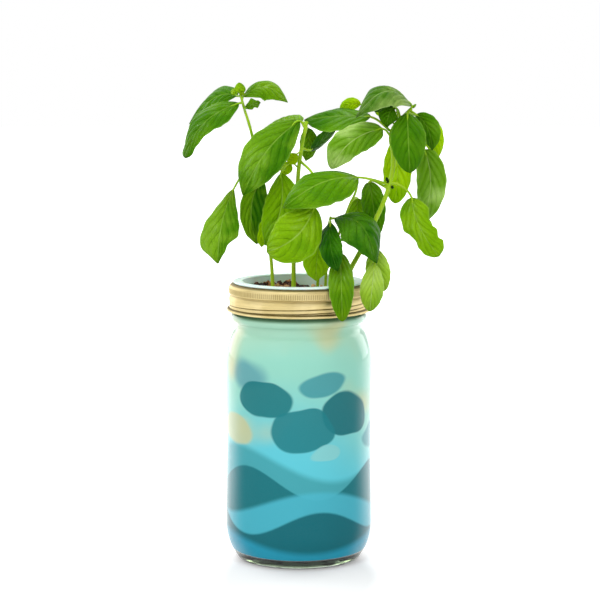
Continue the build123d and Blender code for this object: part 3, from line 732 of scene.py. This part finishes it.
def make_band():
    """The rolled band: fluted top bead, plain rib, helical thread and a wire-like rolled edge."""
    face = [(38.5, 0), (41.2, 0), (42.4, -0.12), (43.6, -0.6), (44.5, -1.4), (44.95, -2.2)]
    face += [(45.1, -2.5 - 0.32 * step) for step in range(12)]
    face += [(44.85, -6.35), (44.4, -6.75), (44.05, -7.1), (43.95, -7.4), (44.05, -7.7), (44.5, -8.2)]
    face += [(44.85, -8.8), (45, -9.5), (45.02, -10.3), (44.95, -10.9)]
    face += [(44.85, -11.2 - 0.22 * step) for step in range(20)]
    face += [(44.6, -15.7), (44.45, -15.85)]
    angles = [radians(degrees) for degrees in range(140, -200, -20)]
    curl = [(45.4 + cos(angle), -16.8 + sin(angle)) for angle in angles]
    inner = [(44.2, -15.7), (44.1, -13.4), (44.05, -12.2), (44.45, -10.9), (44.5, -9.8), (43.9, -8.4)]
    inner += [(43.5, -7.4), (44, -6.4), (44.6, -5.2), (44.6, -3.2), (44.2, -2), (43.4, -1.1)]
    inner += [(42.2, -0.55), (38.5, -0.5)]
    obj = turned(face + curl + inner, FLUTES * 4, BAND_TOP)

    def near(height, line, half_width):
        """1 on a line, 0 at half a width from it and beyond, with a smooth fall between."""
        share = max(0, 1 - abs(height - line) / half_width)
        return share * share * (3 - 2 * share)

    def groove_at(at):
        """How far a place on the band is pressed in, in millimetres, and how much shade is
        painted there.
        """
        radius = at.xy.length / MM
        height = at.z / MM - BAND_TOP
        turn = atan2(at.y, at.x) / tau + 0.25
        turn -= floor(turn + 0.5)
        if radius > 44.9 and -6.2 < height < -2.4:
            belt = min(1, (height + 6.2) / 0.5, (-2.4 - height) / 0.5)
            flute = belt * (0.5 - 0.5 * cos(tau * FLUTES * turn))
            return 0.32 * flute, 0.55 * flute
        if -8.6 < height < -6.4 and radius > 43.7:
            share = near(height, -7.4, 1)
            return 0.35 * (0.5 + 0.5 * sin(tau * turn)) * share, 0.35 * share
        if -15.6 < height < -10.5 and radius > 44.3:
            thread = -12.5 + THREAD_PITCH * turn
            share = max(near(height, thread, 0.55), near(height, thread - 2.5, 0.5))
            return 0.45 * share, 0.8 * share
        # Painted shade under the pot's flange and in the crease above the curl.
        under_rim = height > -1 and radius > 42.2
        above_curl = -16.3 < height < -15.6 and radius > 44.2
        return 0, 0.8 if under_rim or above_curl else 0

    band_shade = obj.data.attributes.new("band_shade", "FLOAT", "POINT")
    for vertex in obj.data.vertices:
        depth, shade_share = groove_at(vertex.co)
        band_shade.data[vertex.index].value = shade_share
        vertex.co -= outward_of(vertex.co) * (depth * MM)
    smooth(obj, 60)
    dress(obj, "band_gold", "band", [BAND], ["screw_band"])


def make_pot():
    """The bowl, a thin wall with its slots and drains cut out, and the flange on its rim."""
    wall = [(0, 0), (14, 0), (26, 0), (29, 0), (29.9, 0.5), (30.2, 1.6)]
    wall += [(30 + 7.3 * rise / 65.1, rise) for rise in [*range(6, 62, 5), 65.1]]
    bowl = turned(wall, 160, POT_FLOOR, closed=False)

    def in_opening(face):
        centre = face.calc_center_median()
        rise = centre.z / MM - POT_FLOOR
        turn = (atan2(centre.y, centre.x) / tau) % 1
        on_slot = abs((turn * 20 + 0.5) % 1 - 0.5) < 0.13
        on_drain = abs((turn * 10) % 1 - 0.5) < 0.07
        side = on_slot and (6 < rise < 26 or 31 < rise < 51)
        return side or (on_drain and rise < 0.1 and 14 < centre.xy.length / MM < 26)

    select_parts(bowl, "faces", in_opening)
    bpy.ops.mesh.delete(type="FACE")
    select_mesh()
    bpy.ops.mesh.normals_make_consistent(inside=False)
    stop_editing()
    apply_modifier(bowl, "SOLIDIFY", thickness=MM, offset=-1)
    apply_modifier(
        bowl, "BEVEL", width=0.16 * MM, segments=1, limit_method="ANGLE", angle_limit=radians(60))
    smooth(bowl, 35)
    dress(bowl, "pot_bowl", "pot", [POT], ["net_pot"])

    rim = [(36.3, -1.9), (36.3, -0.5), (36.45, -0.15), (36.8, 0), (38.4, 0), (41.6, 0)]
    rim += [(42.05, -0.12), (42.3, -0.5), (42.25, -1), (41.9, -1.35), (41.4, -1.4), (38.4, -1.4)]
    rim += [(37.6, -1.5), (37.3, -1.9)]
    flange = turned(rim, 160, RIM_TOP)
    apply_modifier(flange, "SUBSURF", levels=1, render_levels=1)
    smooth(flange, 60)
    dress(flange, "pot_flange", "pot", [POT], ["net_pot"])


# What the pot and the jar hold

def make_medium():
    """The plug of fibre: a turned body with its top face roughened."""
    top = [(0, -0.2), (6, -0.1), (12, 0), (18, 0), (24, -0.1), (30, -0.2), (34, -0.5)]
    side = [(35.15, -1.2), (34.6, -7.5), (33.6, -17.5), (32.6, -26.5), (31.6, -35.5), (30.6, -44.5)]
    foot = [(29.7, -53.5), (29, -55.9), (0, -56.25)]
    obj = turned(top + side + foot, 96, MEDIUM_TOP)
    select_parts(obj, "faces", lambda face: face.calc_center_median().z > (MEDIUM_TOP - 3.5) * MM)
    bpy.ops.mesh.subdivide(number_cuts=2)
    stop_editing()

    def crumble(at):
        if at.z < (MEDIUM_TOP - 2.5) * MM:
            return at
        rough = noise.noise(at * 420) * 0.7 + noise.noise(at * 1100) * 0.4
        return at + Vector((0, 0, rough * MM))

    move_points(obj, crumble)
    smooth(obj, 60)
    dress(obj, "medium_plug", "pot", [FIBRE], ["growing_medium"])


def strand_shape(bow, twist):
    """A thin strand one unit long that lies along X: a square rod of four bent lengths."""
    bpy.ops.mesh.primitive_cylinder_add(
        vertices=4, radius=0.5, depth=1, end_fill_type="TRIFAN", rotation=(0, pi / 2, 0))
    obj = bpy.context.object
    settle(obj)
    start_editing(obj)
    for cut in (-0.25, 0, 0.25):
        select_mesh()
        bpy.ops.mesh.bisect(plane_co=(cut, 0, 0), plane_no=(1, 0, 0))
    stop_editing()
    for vertex in obj.data.vertices:
        vertex.co.y += bow * (vertex.co.x ** 2 * 4 - 0.4)
        vertex.co.z += twist * sin(vertex.co.x * 5)
    return obj


def make_strands():
    """Loose strands of husk that lie on the medium."""
    number, spread, thick = 170, 31, (0.3, 0.26)
    shapes = [strand_shape(3, 1.2), strand_shape(-4.5, 0.8), strand_shape(1.5, -1.5)]
    strands = []
    for i in range(number):
        right, back = seed_place(i, number, i)
        place = (spread * right, spread * back, MEDIUM_TOP + 0.5 + 0.4 * sin(i * 2.1))
        length = 4.5 + 5 * abs(draw(i * 0.61, 4, 2))
        strands.append(copy_of(shapes[i % 3], place, (length, *thick), (i * 7, 4 * sin(i), i * 97)))
    put_away(shapes)
    dress(joined(strands), "medium_strands", "pot", [STRAND])


def make_chips():
    """Crumbs of husk and bark, piled at the left and the back of the pot as in the picture.
    Each row of the pile: its middle to the right and back, its height above the medium, its
    half width and half depth, and how many crumbs it has."""
    piles = (
        (-15, 22, 2.2, 13, 5, 26), (-20, 12, 2, 10, 6, 22), (-7, 13, 2.2, 9, 6, 22),
        (-22, 0, 1.1, 8, 7, 14), (-6, 2, 0.9, 9, 6, 12), (8, 20, 1, 9, 6, 9),
        (-16, -14, 0.7, 9, 7, 10), (8, -12, 0.5, 12, 9, 10), (20, 6, 0.6, 8, 10, 8),
    )
    shapes = [lump_shape(seed, 0.3) for seed in range(1, 8)]
    kinds = {"dark": HUSK_DARK, "light": HUSK, "tan": HUSK_TAN}
    lumps = {kind: [] for kind in kinds}
    count = 0
    for right, back, up, wide, deep, number in piles:
        for i in range(number):
            count += 1
            across, along = seed_place(i, number, count)
            high = MEDIUM_TOP + up + 1.6 * draw(count * 0.73, 2, 5)
            place = (right + wide * across, back + deep * along, high)
            long = 2.6 + 4.4 * abs(draw(count * 0.41, 7, 1))
            turn = (count * 47, count * 31, count * 73)
            lump = copy_of(shapes[count % 7], place, (long, long * 0.72, long * 0.6), turn)
            lumps[("dark", "light", "tan", "dark", "light")[count % 5]].append(lump)
    put_away(shapes)
    for kind, finish in kinds.items():
        obj = joined(lumps[kind])
        smooth(obj, 28)
        dress(obj, "chips_" + kind, "pot", [finish], ["husk_chips"])


def make_carbon():
    """Granules on the jar's floor. Each one: right and back as shares of the spread, and its size."""
    spread, jar_floor = 36.5, 5.6
    granules = (
        (0.7, 0, 1), (0.55, 0.42, 0.8), (0.25, 0.66, 1), (-0.12, 0.58, 0.75), (-0.5, 0.5, 0.95),
        (-0.7, 0.15, 0.8), (-0.66, -0.25, 1), (-0.38, -0.52, 0.85), (0.02, -0.68, 1), (0.36, -0.44, 0.8),
        (0.62, -0.3, 0.9), (0.3, 0.3, 0.85), (-0.34, 0.26, 0.9), (-0.25, -0.25, 0.75), (0.08, -0.36, 0.85),
    )
    shapes = [lump_shape(seed, 0.2) for seed in (70, 73, 78)]
    lumps = []
    for i, (right, back, size) in enumerate(granules):
        place = (right * spread, back * spread, jar_floor + 1.7 * size)
        lumps.append(copy_of(shapes[i % 3], place, (4.4 * size, 4 * size, 3.3 * size), (0, 0, 40 * i)))
    put_away(shapes)
    obj = joined(lumps)
    smooth(obj, 25)
    dress(obj, "carbon_bed", "jar", [CARBON], ["carbon_granules"])


def make_wick():
    """A strip of felt that hangs from the medium into the water, a little rippled."""
    wide, thick, long, low, cuts = 9.6, 1.9, 132.6, 8.4, 44
    bpy.ops.mesh.primitive_cube_add(size=1)
    obj = bpy.context.object
    start_editing(obj)
    bpy.ops.transform.resize(value=(wide * MM, thick * MM, long * MM))
    bpy.ops.transform.translate(value=(0, 0, (low + long / 2) * MM))
    bpy.ops.mesh.bevel(offset=0.5 * MM, segments=2)
    for i in range(1, cuts):
        select_mesh()
        bpy.ops.mesh.bisect(plane_co=(0, 0, (low + long * i / cuts) * MM), plane_no=(0, 0, 1))
    stop_editing()

    def ripple(at):
        below_pot = max(0, (112 - at.z / MM) / 104)
        across = 0.9 * sin(at.z / MM * 0.075) * below_pot
        fray = noise.noise(at * 900) * 0.15
        edge = 0.25 * draw(0, at.x * 300, at.z * 260)
        return at + Vector((edge * MM * (1 if at.x > 0 else -1), (across + fray) * MM, 0))

    move_points(obj, ripple)
    smooth(obj, 60)
    dress(obj, "wick_strip", "pot", [FELT], ["capillary_wick"])


# The herb

def plant_point(place):
    """A place of the herb: right, back and above the pot's rim, in thousandths of the reach."""
    right, back, up = [side / 1000 * REACH for side in place]
    return Vector((right, back, up + RIM_TOP)) * MM


# Each stem: its radius at the foot and at the top, and the places that it runs through.
STEMS = {
    "stem_left": (1.3, 0.8, (
        (-170, 50, -300), (-175, 50, 0), (-185, 60, 140), (-235, 60, 530),
        (-300, 50, 920), (-330, 40, 1040), (-352, 30, 1110), (-385, 20, 1235))),
    "stem_middle": (1.6, 1.2, (
        (-35, 0, -300), (-34, 0, 0), (-34, 0, 120), (-20, 0, 400),
        (-7, 0, 650), (6, 0, 790), (38, 0, 980), (52, 0, 1045))),
    "stem_thin": (1, 0.8, (
        (120, 100, -300), (125, 90, -40), (135, 60, 50), (155, 10, 200), (180, -40, 310), (209, -80, 426))),
    "stem_slim": (1, 0.7, (
        (175, 40, -300), (177, 40, -30), (185, 30, 70), (255, 10, 277), (333, 30, 490), (380, 40, 600),
        (382, 30, 660))),
    "stem_right": (1.8, 1.1, (
        (270, 0, -300), (300, 0, -20), (345, 0, 80), (402, 0, 185), (469, -10, 325), (594, -20, 631),
        (620, -20, 810), (602, -20, 960), (640, -20, 1035), (700, -20, 1095), (735, -20, 1130))),
}


def tube(points, radii, fineness):
    """A tapering tube along a smooth curve through points, as a mesh. Radii are in millimetres."""
    curve = bpy.data.curves.new("tube", "CURVE")
    curve.dimensions = "3D"
    curve.bevel_depth = MM
    curve.bevel_resolution = fineness
    curve.use_fill_caps = True
    curve.resolution_u = 8
    spline = curve.splines.new("BEZIER")
    spline.bezier_points.add(len(points) - 1)
    for knot, place, radius in zip(spline.bezier_points, points, radii):
        knot.co = place
        knot.radius = radius
        knot.handle_left_type = "AUTO"
        knot.handle_right_type = "AUTO"
    obj = bpy.data.objects.new("tube", curve)
    link(obj)
    select_only(obj)
    bpy.ops.object.convert(target="MESH")
    return bpy.context.object


def make_stem(name):
    low, high, route = STEMS[name]
    last = len(route) - 1
    radii = [low + (high - low) * i / last for i in range(last + 1)]
    obj = tube([plant_point(place) for place in route], radii, 3)
    smooth(obj, 60)
    dress(obj, name + "_green", "pot", [STEM], [name])


# Each leaf: its tint, width as a share of the reach, lean in degrees, doming, where it is widest,
# waviness; then where its stalk leaves the stem, the stalk's bend where it has one, and the
# blade's start, middle and tip.
LEAVES = {
    "leaf_left_outer": ("olive", 0.23, 40, 0.15, 0.5, 0.05,
        (-366, 25, 1165), (-390, -10, 1165), (-620, -90, 1040), (-735, -150, 813)),
    "leaf_left_back": ("olive", 0.24, 60, 0.2, 0.5, 0.05,
        (-378, 22, 1210), (-405, 70, 1210), (-565, 160, 1200), (-730, 220, 1020)),
    "leaf_left_inner": ("fresh", 0.2, -50, 0.25, 0.5, 0.04,
        (-372, 23, 1185), (-366, 35, 1205), (-215, 50, 1272), (-72, 40, 1168)),
    "leaflet_left": ("mid", 0.06, 0, 0.2, 0.5, 0.08,
        (-352, 30, 1110), (-350, -10, 1130), (-300, -30, 1158), (-250, -50, 1168)),
    "leaf_left_low": ("split", 0.235, 15, 0.2, 0.62, 0.09,
        (-283, 52, 820), (-425, -20, 610), (-505, -80, 385), (-530, -100, 120)),
    "leaf_left_low_inner": ("fold", 0.19, -20, -0.4, 0.5, 0.05,
        (-265, 55, 710), (-240, 20, 670), (-310, -40, 478), (-272, -30, 244)),
    "leaf_left_low_back": ("glow", 0.13, 0, 0.2, 0.5, 0.03,
        (-235, 60, 530), (-235, 90, 460), (-238, 110, 340), (-248, 100, 210)),
    "leaf_middle_front": ("part", 0.28, 10, 0.2, 0.5, 0.04,
        (42, 0, 1000), (5, -30, 1050), (-210, -200, 860), (-360, -220, 577)),
    "leaf_middle_back": ("bright", 0.22, 70, 0.2, 0.5, 0.03,
        (50, 0, 1035), (13, 50, 1040), (-90, 140, 1060), (-205, 220, 1010)),
    "leaf_middle_low": ("bright", 0.25, 15, 0.2, 0.5, 0.04,
        (12, 0, 825), (-117, -70, 711), (-122, -140, 473), (-220, -150, 246)),
    "leaf_front_round": ("bright", 0.32, 0, 0.15, 0.5, 0.05,
        (6, 0, 790), (97, -90, 693), (103, -230, 505), (-10, -360, 330), (-205, -370, 225)),
    "leaf_stem_back": ("fresh", 0.12, 0, 0.25, 0.5, 0.03,
        (42, 0, 970), (55, 60, 1000), (65, 120, 890), (46, 130, 780)),
    "leaf_stem_side": ("dark", 0.12, 50, 0.2, 0.5, 0.03,
        (20, 0, 870), (78, 40, 855), (163, 90, 915), (255, 120, 1000)),
    "leaflet_middle": ("glow", 0.08, 0, 0.2, 0.5, 0,
        (18, 0, 855), (-10, -30, 835), (-40, -50, 805), (-72, -60, 775)),
    "leaflet_low": ("glow", 0.08, 0, 0.2, 0.5, 0,
        (0, 0, 740), (-52, 30, 772), (-80, 35, 737), (-105, 35, 688)),
    "leaf_front_arch": ("dark", 0.34, -45, 0.25, 0.48, 0.05,
        (206, -78, 415), (232, -100, 420), (406, -180, 391), (507, -210, 134)),
    "leaf_front_dark": ("deep", 0.15, 0, 0.2, 0.5, 0.05,
        (203, -73, 398), (206, -160, 397), (204, -310, 263), (249, -410, 107)),
    "leaf_front_low": ("lit", 0.19, 0, 0.2, 0.45, 0.02,
        (195, -60, 365), (147, -140, 320), (118, -200, 165), (115, -250, 24)),
    "leaf_over_band": ("fresh", 0.165, 0, 0.2, 0.45, 0.03,
        (255, 10, 277), (270, -80, 270), (270, -200, 204), (272, -430, 18), (277, -530, -202)),
    "leaf_slim_back": ("bright", 0.14, 0, 0.2, 0.5, 0.03,
        (345, 33, 520), (388, 140, 530), (390, 190, 430), (375, 210, 330)),
    "leaf_front_long": ("mid", 0.32, 45, 0.3, 0.45, 0.04,
        (594, -20, 631), (480, -60, 668), (388, -120, 688), (147, -280, 671), (-101, -360, 505)),
    "leaf_right_shaded": ("mid", 0.16, 10, 0.2, 0.42, 0.03,
        (585, -18, 610), (464, 50, 645), (495, 80, 465), (515, 80, 262)),
    "leaf_right_low": ("bright", 0.205, 10, 0.2, 0.45, 0.1,
        (598, -20, 650), (673, -60, 625), (735, -100, 555), (785, -140, 366), (915, -160, 175)),
    "leaf_right_inner": ("glow", 0.19, 0, 0.2, 0.5, 0.04,
        (614, -20, 860), (640, 60, 920), (655, 140, 700), (640, 160, 495)),
    "leaf_beside_band": ("lime", 0.155, 0, 0.2, 0.5, 0.04,
        (402, 0, 185), (468, -110, 163), (494, -175, 133), (473, -330, -12), (457, -340, -164)),
    "leaf_beside_back": ("lime", 0.16, 0, 0.2, 0.5, 0.04,
        (418, -3, 220), (505, -55, 215), (517, -130, 85), (561, -160, -52)),
    "leaf_upper_middle": ("pale", 0.2, 20, 0.2, 0.38, 0.06,
        (604, -20, 945), (548, -60, 1000), (345, -145, 925), (208, -170, 745)),
    "leaf_upper_flat": ("olive", 0.28, 60, 0.2, 0.5, 0.03,
        (610, -20, 975), (471, 0, 1076), (245, 65, 1085), (35, 130, 1050)),
    "leaf_upper_small": ("glow", 0.1, 20, 0.2, 0.5, 0.02,
        (632, -20, 1020), (550, 60, 1100), (410, 170, 1150), (335, 190, 1150), (275, 190, 1100)),
    "leaf_top_dark": ("olive", 0.09, 0, 0.2, 0.5, 0.02,
        (648, -20, 1043), (620, -55, 1140), (585, -75, 1090), (575, -75, 1010)),
    "leaf_top_under": ("deep", 0.14, 55, 0.2, 0.5, 0.02,
        (662, -20, 1057), (640, -5, 1130), (530, 20, 1160), (440, 30, 1145)),
    "leaf_top_light": ("glow", 0.1, 10, 0.2, 0.5, 0.02,
        (676, -20, 1071), (620, 70, 1110), (560, 110, 1115), (490, 130, 1125)),
    "leaf_right_long": ("pale", 0.2, 15, 0.25, 0.4, 0.05,
        (688, -20, 1083), (780, 20, 990), (825, 40, 860), (865, 20, 610), (795, -10, 385)),
    "leaf_right_back": ("glow", 0.16, 20, 0.3, 0.5, 0.03,
        (705, -20, 1100), (770, 50, 1080), (865, 140, 965), (920, 200, 785)),
    "leaf_right_front": ("olive", 0.235, 0, 0.2, 0.45, 0.04,
        (700, -20, 1095), (705, -80, 1100), (709, -170, 920), (720, -170, 718)),
    "leaf_right_dark": ("olive", 0.15, 20, 0.3, 0.5, 0.03,
        (722, -20, 1117), (765, -30, 1090), (840, -30, 1000), (872, -30, 860)),
    "leaf_top_arch": ("silk", 0.28, 58, 0.25, 0.42, 0.06,
        (730, -20, 1125), (737, -40, 1150), (560, -100, 1250), (370, -140, 1075)),
}

# Where a blade's margins depart from the plain outline: factors on its half width at even
# steps from stalk to tip, first on the side of +across and then on the other.
MARGINS = {
    "leaf_left_outer": ((1, 1.1, 1, 0.8, 0.6, 0.62, 1), (1, 1.1, 1.05, 0.9, 0.7, 0.62, 1)),
    "leaf_left_low": ((1, 1, 1.05, 1, 0.55, 0.5), (1, 0.85, 0.9, 1.1, 1.4, 1.1)),
    "leaf_left_low_inner": ((1, 1, 1, 0.85, 0.45, 0.3), (1, 1)),
    "leaf_upper_middle": ((1, 1, 1, 1, 1.1, 1), (1, 1, 1.1, 1.3, 1.5, 1.3)),
    "leaf_top_dark": ((1, 1.3, 1.5, 1.4, 1.2), (1, 1.3, 1.5, 1.4, 1.2)),
    "leaflet_left": ((1, 0.9, 1.3, 0.7, 1.2), (1, 1.2, 0.8, 1.3, 1)),
    "leaf_right_low": (
        (1, 1, 1.1, 0.9, 0.75, 0.8, 1, 0.95, 1.4, 1.9), (1, 1.1, 1.15, 1, 1.1, 0.85, 0.75, 1, 1.2, 1.3)),
}
BLUNT_TIPS = {
    "leaf_left_outer", "leaf_front_round", "leaf_over_band", "leaf_beside_band", "leaf_beside_back",
    "leaf_right_long", "leaf_right_front", "leaf_right_inner", "leaf_right_low", "leaf_upper_middle",
}


def margin_factor(name, across, share):
    if name not in MARGINS:
        return 1
    steps = MARGINS[name][0 if across > 0 else 1]
    place = min(share, 0.9999) * (len(steps) - 1)
    low = int(place)
    ease = (1 - cos(pi * (place - low))) / 2
    return steps[low] * (1 - ease) + steps[low + 1] * ease


def make_leaf(name, number):
    """A blade from a fine grid, bent along its line, quilted between its veins, and its stalk."""
    tint, width, lean, doming, widest, wave, *places = LEAVES[name]
    foot, *bend, start, middle, tip = [plant_point(place) for place in places]
    pull = middle * 2 - (start + tip) * 0.5
    chord = (tip - start).normalized()
    level = chord.cross(Vector((0, 1, 0))).normalized()
    side_rest = level * cos(radians(lean)) + chord.cross(level) * sin(radians(lean))
    half_widest = width * REACH * MM / 2
    small = width < SMALL_LEAF
    rows, columns = (24, 10) if small else (48, 20)
    bend_power = log(0.5) / log(widest)
    blunt = name in BLUNT_TIPS

    def on_line(share):
        """A place on the blade's middle line."""
        away = 1 - share
        return start * away * away + pull * (2 * share * away) + tip * share * share

    def across_line(along):
        """The direction across the blade, where its middle line runs along a direction."""
        return (side_rest - along * side_rest.dot(along)).normalized()

    bpy.ops.mesh.primitive_grid_add(x_subdivisions=columns, y_subdivisions=rows, size=1)
    blade = bpy.context.object
    blade.data.uv_layers[0].name = "leaf"
    for vertex in blade.data.vertices:
        across = vertex.co.x * 2
        share = vertex.co.y + 0.5
        along = ((pull - start) * (1 - share) + (tip - pull) * share).normalized()
        side = across_line(along)
        fullness = sin(pi * min(share, 0.9999) ** bend_power) ** (0.52 if blunt else 0.62)
        if share > 0.86 and not blunt:
            fullness *= 1 - 0.35 * ((share - 0.86) / 0.14)
        reach = abs(across)
        edge = 1 + 0.02 * sin(share * 34 + number) * reach ** 6
        half = max(half_widest * fullness * edge * margin_factor(name, across, share), 0.45 * MM)
        swept = (share - VEIN_SWEEP * reach ** VEIN_BEND) * VEIN_PAIRS
        quilt = (0.5 - 0.5 * cos(tau * swept)) * (1 - reach ** 2.5) * min(1, reach * 5)
        crease = exp(-(across / 0.16) ** 2)
        ruffle = wave * reach ** 3 * sin(share * 13 + number * 1.9 + (1.6 if across > 0 else 0))
        lift = half_widest * fullness * (0.04 * quilt - 0.08 * crease + ruffle)
        lift -= 1.4 * doming * half * across * across
        vertex.co = on_line(share) + side * (across * half) + along.cross(side) * lift
    for finish in (LEAF[tint], back_of(tint), STEM):
        blade.data.materials.append(finish)
    start_editing(blade)
    bpy.ops.mesh.flip_normals()
    stop_editing()
    apply_modifier(
        blade, "SOLIDIFY", thickness=LEAF_THICKNESS * MM, offset=-1, material_offset=1,
        use_even_offset=True)

    first_along = (pull - start).normalized()
    under = first_along.cross(across_line(first_along))
    stuck = (0.4 + 0.08 * half_widest / MM) * MM
    knots = [foot, *bend, start - under * (0.25 * MM)]
    knots += [on_line(share) - under * stuck for share in (0.14, 0.4)]
    thick = 0.55 if small else 0.8
    radii = [thick * size for size in [1.1] + [1] * len(bend) + [0.85, 0.6, 0.2]]
    stalk = tube(knots, radii, 2)
    stalk.data.materials.append(STEM)
    leaf = joined([blade, stalk])
    smooth(leaf, 70)
    dress(leaf, name + "_blade", "pot", [], [name])


def make_bud(number, place, length, width, lean):
    """A bud: a small lobed form that narrows to its top."""
    bpy.ops.mesh.primitive_uv_sphere_add(segments=16, ring_count=10, radius=1)
    obj = bpy.context.object
    for vertex in obj.data.vertices:
        x, y, z = vertex.co
        slim = (1 - 0.45 * (z + 1) / 2) * (1 + 0.22 * cos(3 * atan2(y, x) + number)) * width
        vertex.co = Vector((x * slim, y * slim, z * length)) * MM
    obj.rotation_euler = (radians(lean), radians(lean * 0.6), number)
    obj.location = plant_point(place)
    settle(obj)
    smooth(obj, 60)
    return obj


def make_buds():
    """The fresh buds at the tops and the dark ones on the right stem. Each one: its place, its
    half length, its half width and its lean."""
    fresh = (
        ((-390, 12, 1262), 3.5, 4.4, 4), ((-418, 6, 1240), 2.9, 2.4, 36), ((-372, 12, 1232), 2.3, 1.9, -34),
        ((-362, 30, 1145), 1.4, 1.1, 14), ((752, -20, 1145), 1.9, 1.1, -40),
    )
    dark = (
        ((578, -30, 669), 1.4, 1.2, 20), ((612, -30, 617), 1.3, 1.1, -30), ((583, -32, 652), 1, 0.9, 50),
    )
    buds = [make_bud(number, *row) for number, row in enumerate(fresh + dark)]
    dress(joined(buds[:len(fresh)]), "buds_fresh", "pot", [BUD], ["buds"])
    dress(joined(buds[len(fresh):]), "buds_dark", "pot", [BUD_DARK], ["buds"])


# Studio

# Each lamp: its place, the height of the point on the jar's axis that it looks at, its width and
# height, all in metres, and its power.
LAMPS = {
    "light_top": ((-0.15, 0, 1.5), 0.15, (0.9, 0.9), 8),
    "light_key": ((-0.95, -1.2, 0.95), 0.2, (0.9, 0.9), 8.8),
    "light_gleam": ((-0.45, -0.75, 1.25), 0.27, (0.12, 0.3), 1.5),
    "light_fill": ((0.9, -1.25, 0.8), 0.2, (1, 1), 7),
    "light_back_left": ((-1.05, 1.05, 0.75), 0.15, (1.2, 1.5), 12),
    "light_back_right": ((1.1, 0.95, 0.75), 0.15, (0.8, 1.5), 9),
}
CAMERA_PLACE = (0.77, -1253.78, 328.17)
CAMERA_TILT = 7.2987
LENS = 117.598


def make_floor():
    """A white floor. It glows for the viewer, less so in an oval before the foot, which deepens the
    jar's real shadow there as a painted shadow.
    """
    bpy.ops.mesh.primitive_plane_add(size=14)
    ground = bpy.context.object
    ground.name = "studio_floor"
    material, shader = new_finish("studio_white", 0.9, specular_ior_level=0.1)
    path = new_node("LightPath", {}, shader.id_data).outputs
    seen = calc("MAXIMUM", path["Is Camera Ray"], path["Is Glossy Ray"])
    seen = calc("MAXIMUM", seen, path["Is Transmission Ray"])
    place = place_on_piece(shader)
    # Less glow in an oval before the foot: a painted shadow that shapes the jar's shadow.
    off_painted_shadow = soft_step(distance_share(place, (0, -60, 0), (50, 70, 1000)), 0.85, 1.3)
    lift = scaled(soft_step(length_of(place), 0.1, 0.4), 0.5, scaled(off_painted_shadow, 0.54, 0.09))
    feed(
        shader, base_color=(0.74, 0.74, 0.74, 1), emission_color=(1, 1, 1, 1),
        emission_strength=times(seen, lift))
    ground.data.materials.append(material)


def make_sky():
    """Light from all round, white for the viewer. Glossy pieces mirror a dimmer room in front."""
    world = bpy.data.worlds.new("studio_light")
    bpy.context.scene.world = world
    world.use_nodes = True
    background = world.node_tree.nodes["Background"]
    path = new_node("LightPath", {}, world.node_tree).outputs
    seen = calc("MAXIMUM", path["Is Camera Ray"], path["Is Transmission Ray"])
    back = axes_of(place_on_piece(background, "Generated"))[1]
    mirrored = scaled(soft_step(back, -0.1, -0.75), -0.65, 0.45)
    strength = scaled(path["Is Glossy Ray"], mirrored, scaled(seen, 0.45, 0.55))
    feed(background, color=(1, 1, 1, 1), strength=strength)


def make_lamps():
    for name, (place, target, size, power) in LAMPS.items():
        lamp = bpy.data.lights.new(name, "AREA")
        lamp.shape = "RECTANGLE"
        lamp.size, lamp.size_y = size
        lamp.energy = power
        obj = bpy.data.objects.new(name, lamp)
        obj.location = place
        obj.rotation_euler = (Vector((0, 0, target)) - Vector(place)).to_track_quat("-Z", "Y").to_euler()
        link(obj)


def make_camera():
    data = bpy.data.cameras.new("picture")
    data.lens = LENS
    data.sensor_width = 36
    camera = bpy.data.objects.new("picture", data)
    camera.location = Vector(CAMERA_PLACE) * MM
    camera.rotation_euler = (radians(90 - CAMERA_TILT), 0, 0)
    link(camera)
    bpy.context.scene.camera = camera
    bpy.context.scene.view_settings.view_transform = "Standard"


make_jar()
make_sleeve()
make_band()
make_pot()
make_medium()
make_strands()
make_chips()
make_carbon()
make_wick()
for stem_name in STEMS:
    make_stem(stem_name)
for order, leaf_name in enumerate(LEAVES):
    make_leaf(leaf_name, order)
make_buds()
make_floor()
make_sky()
make_lamps()
make_camera()
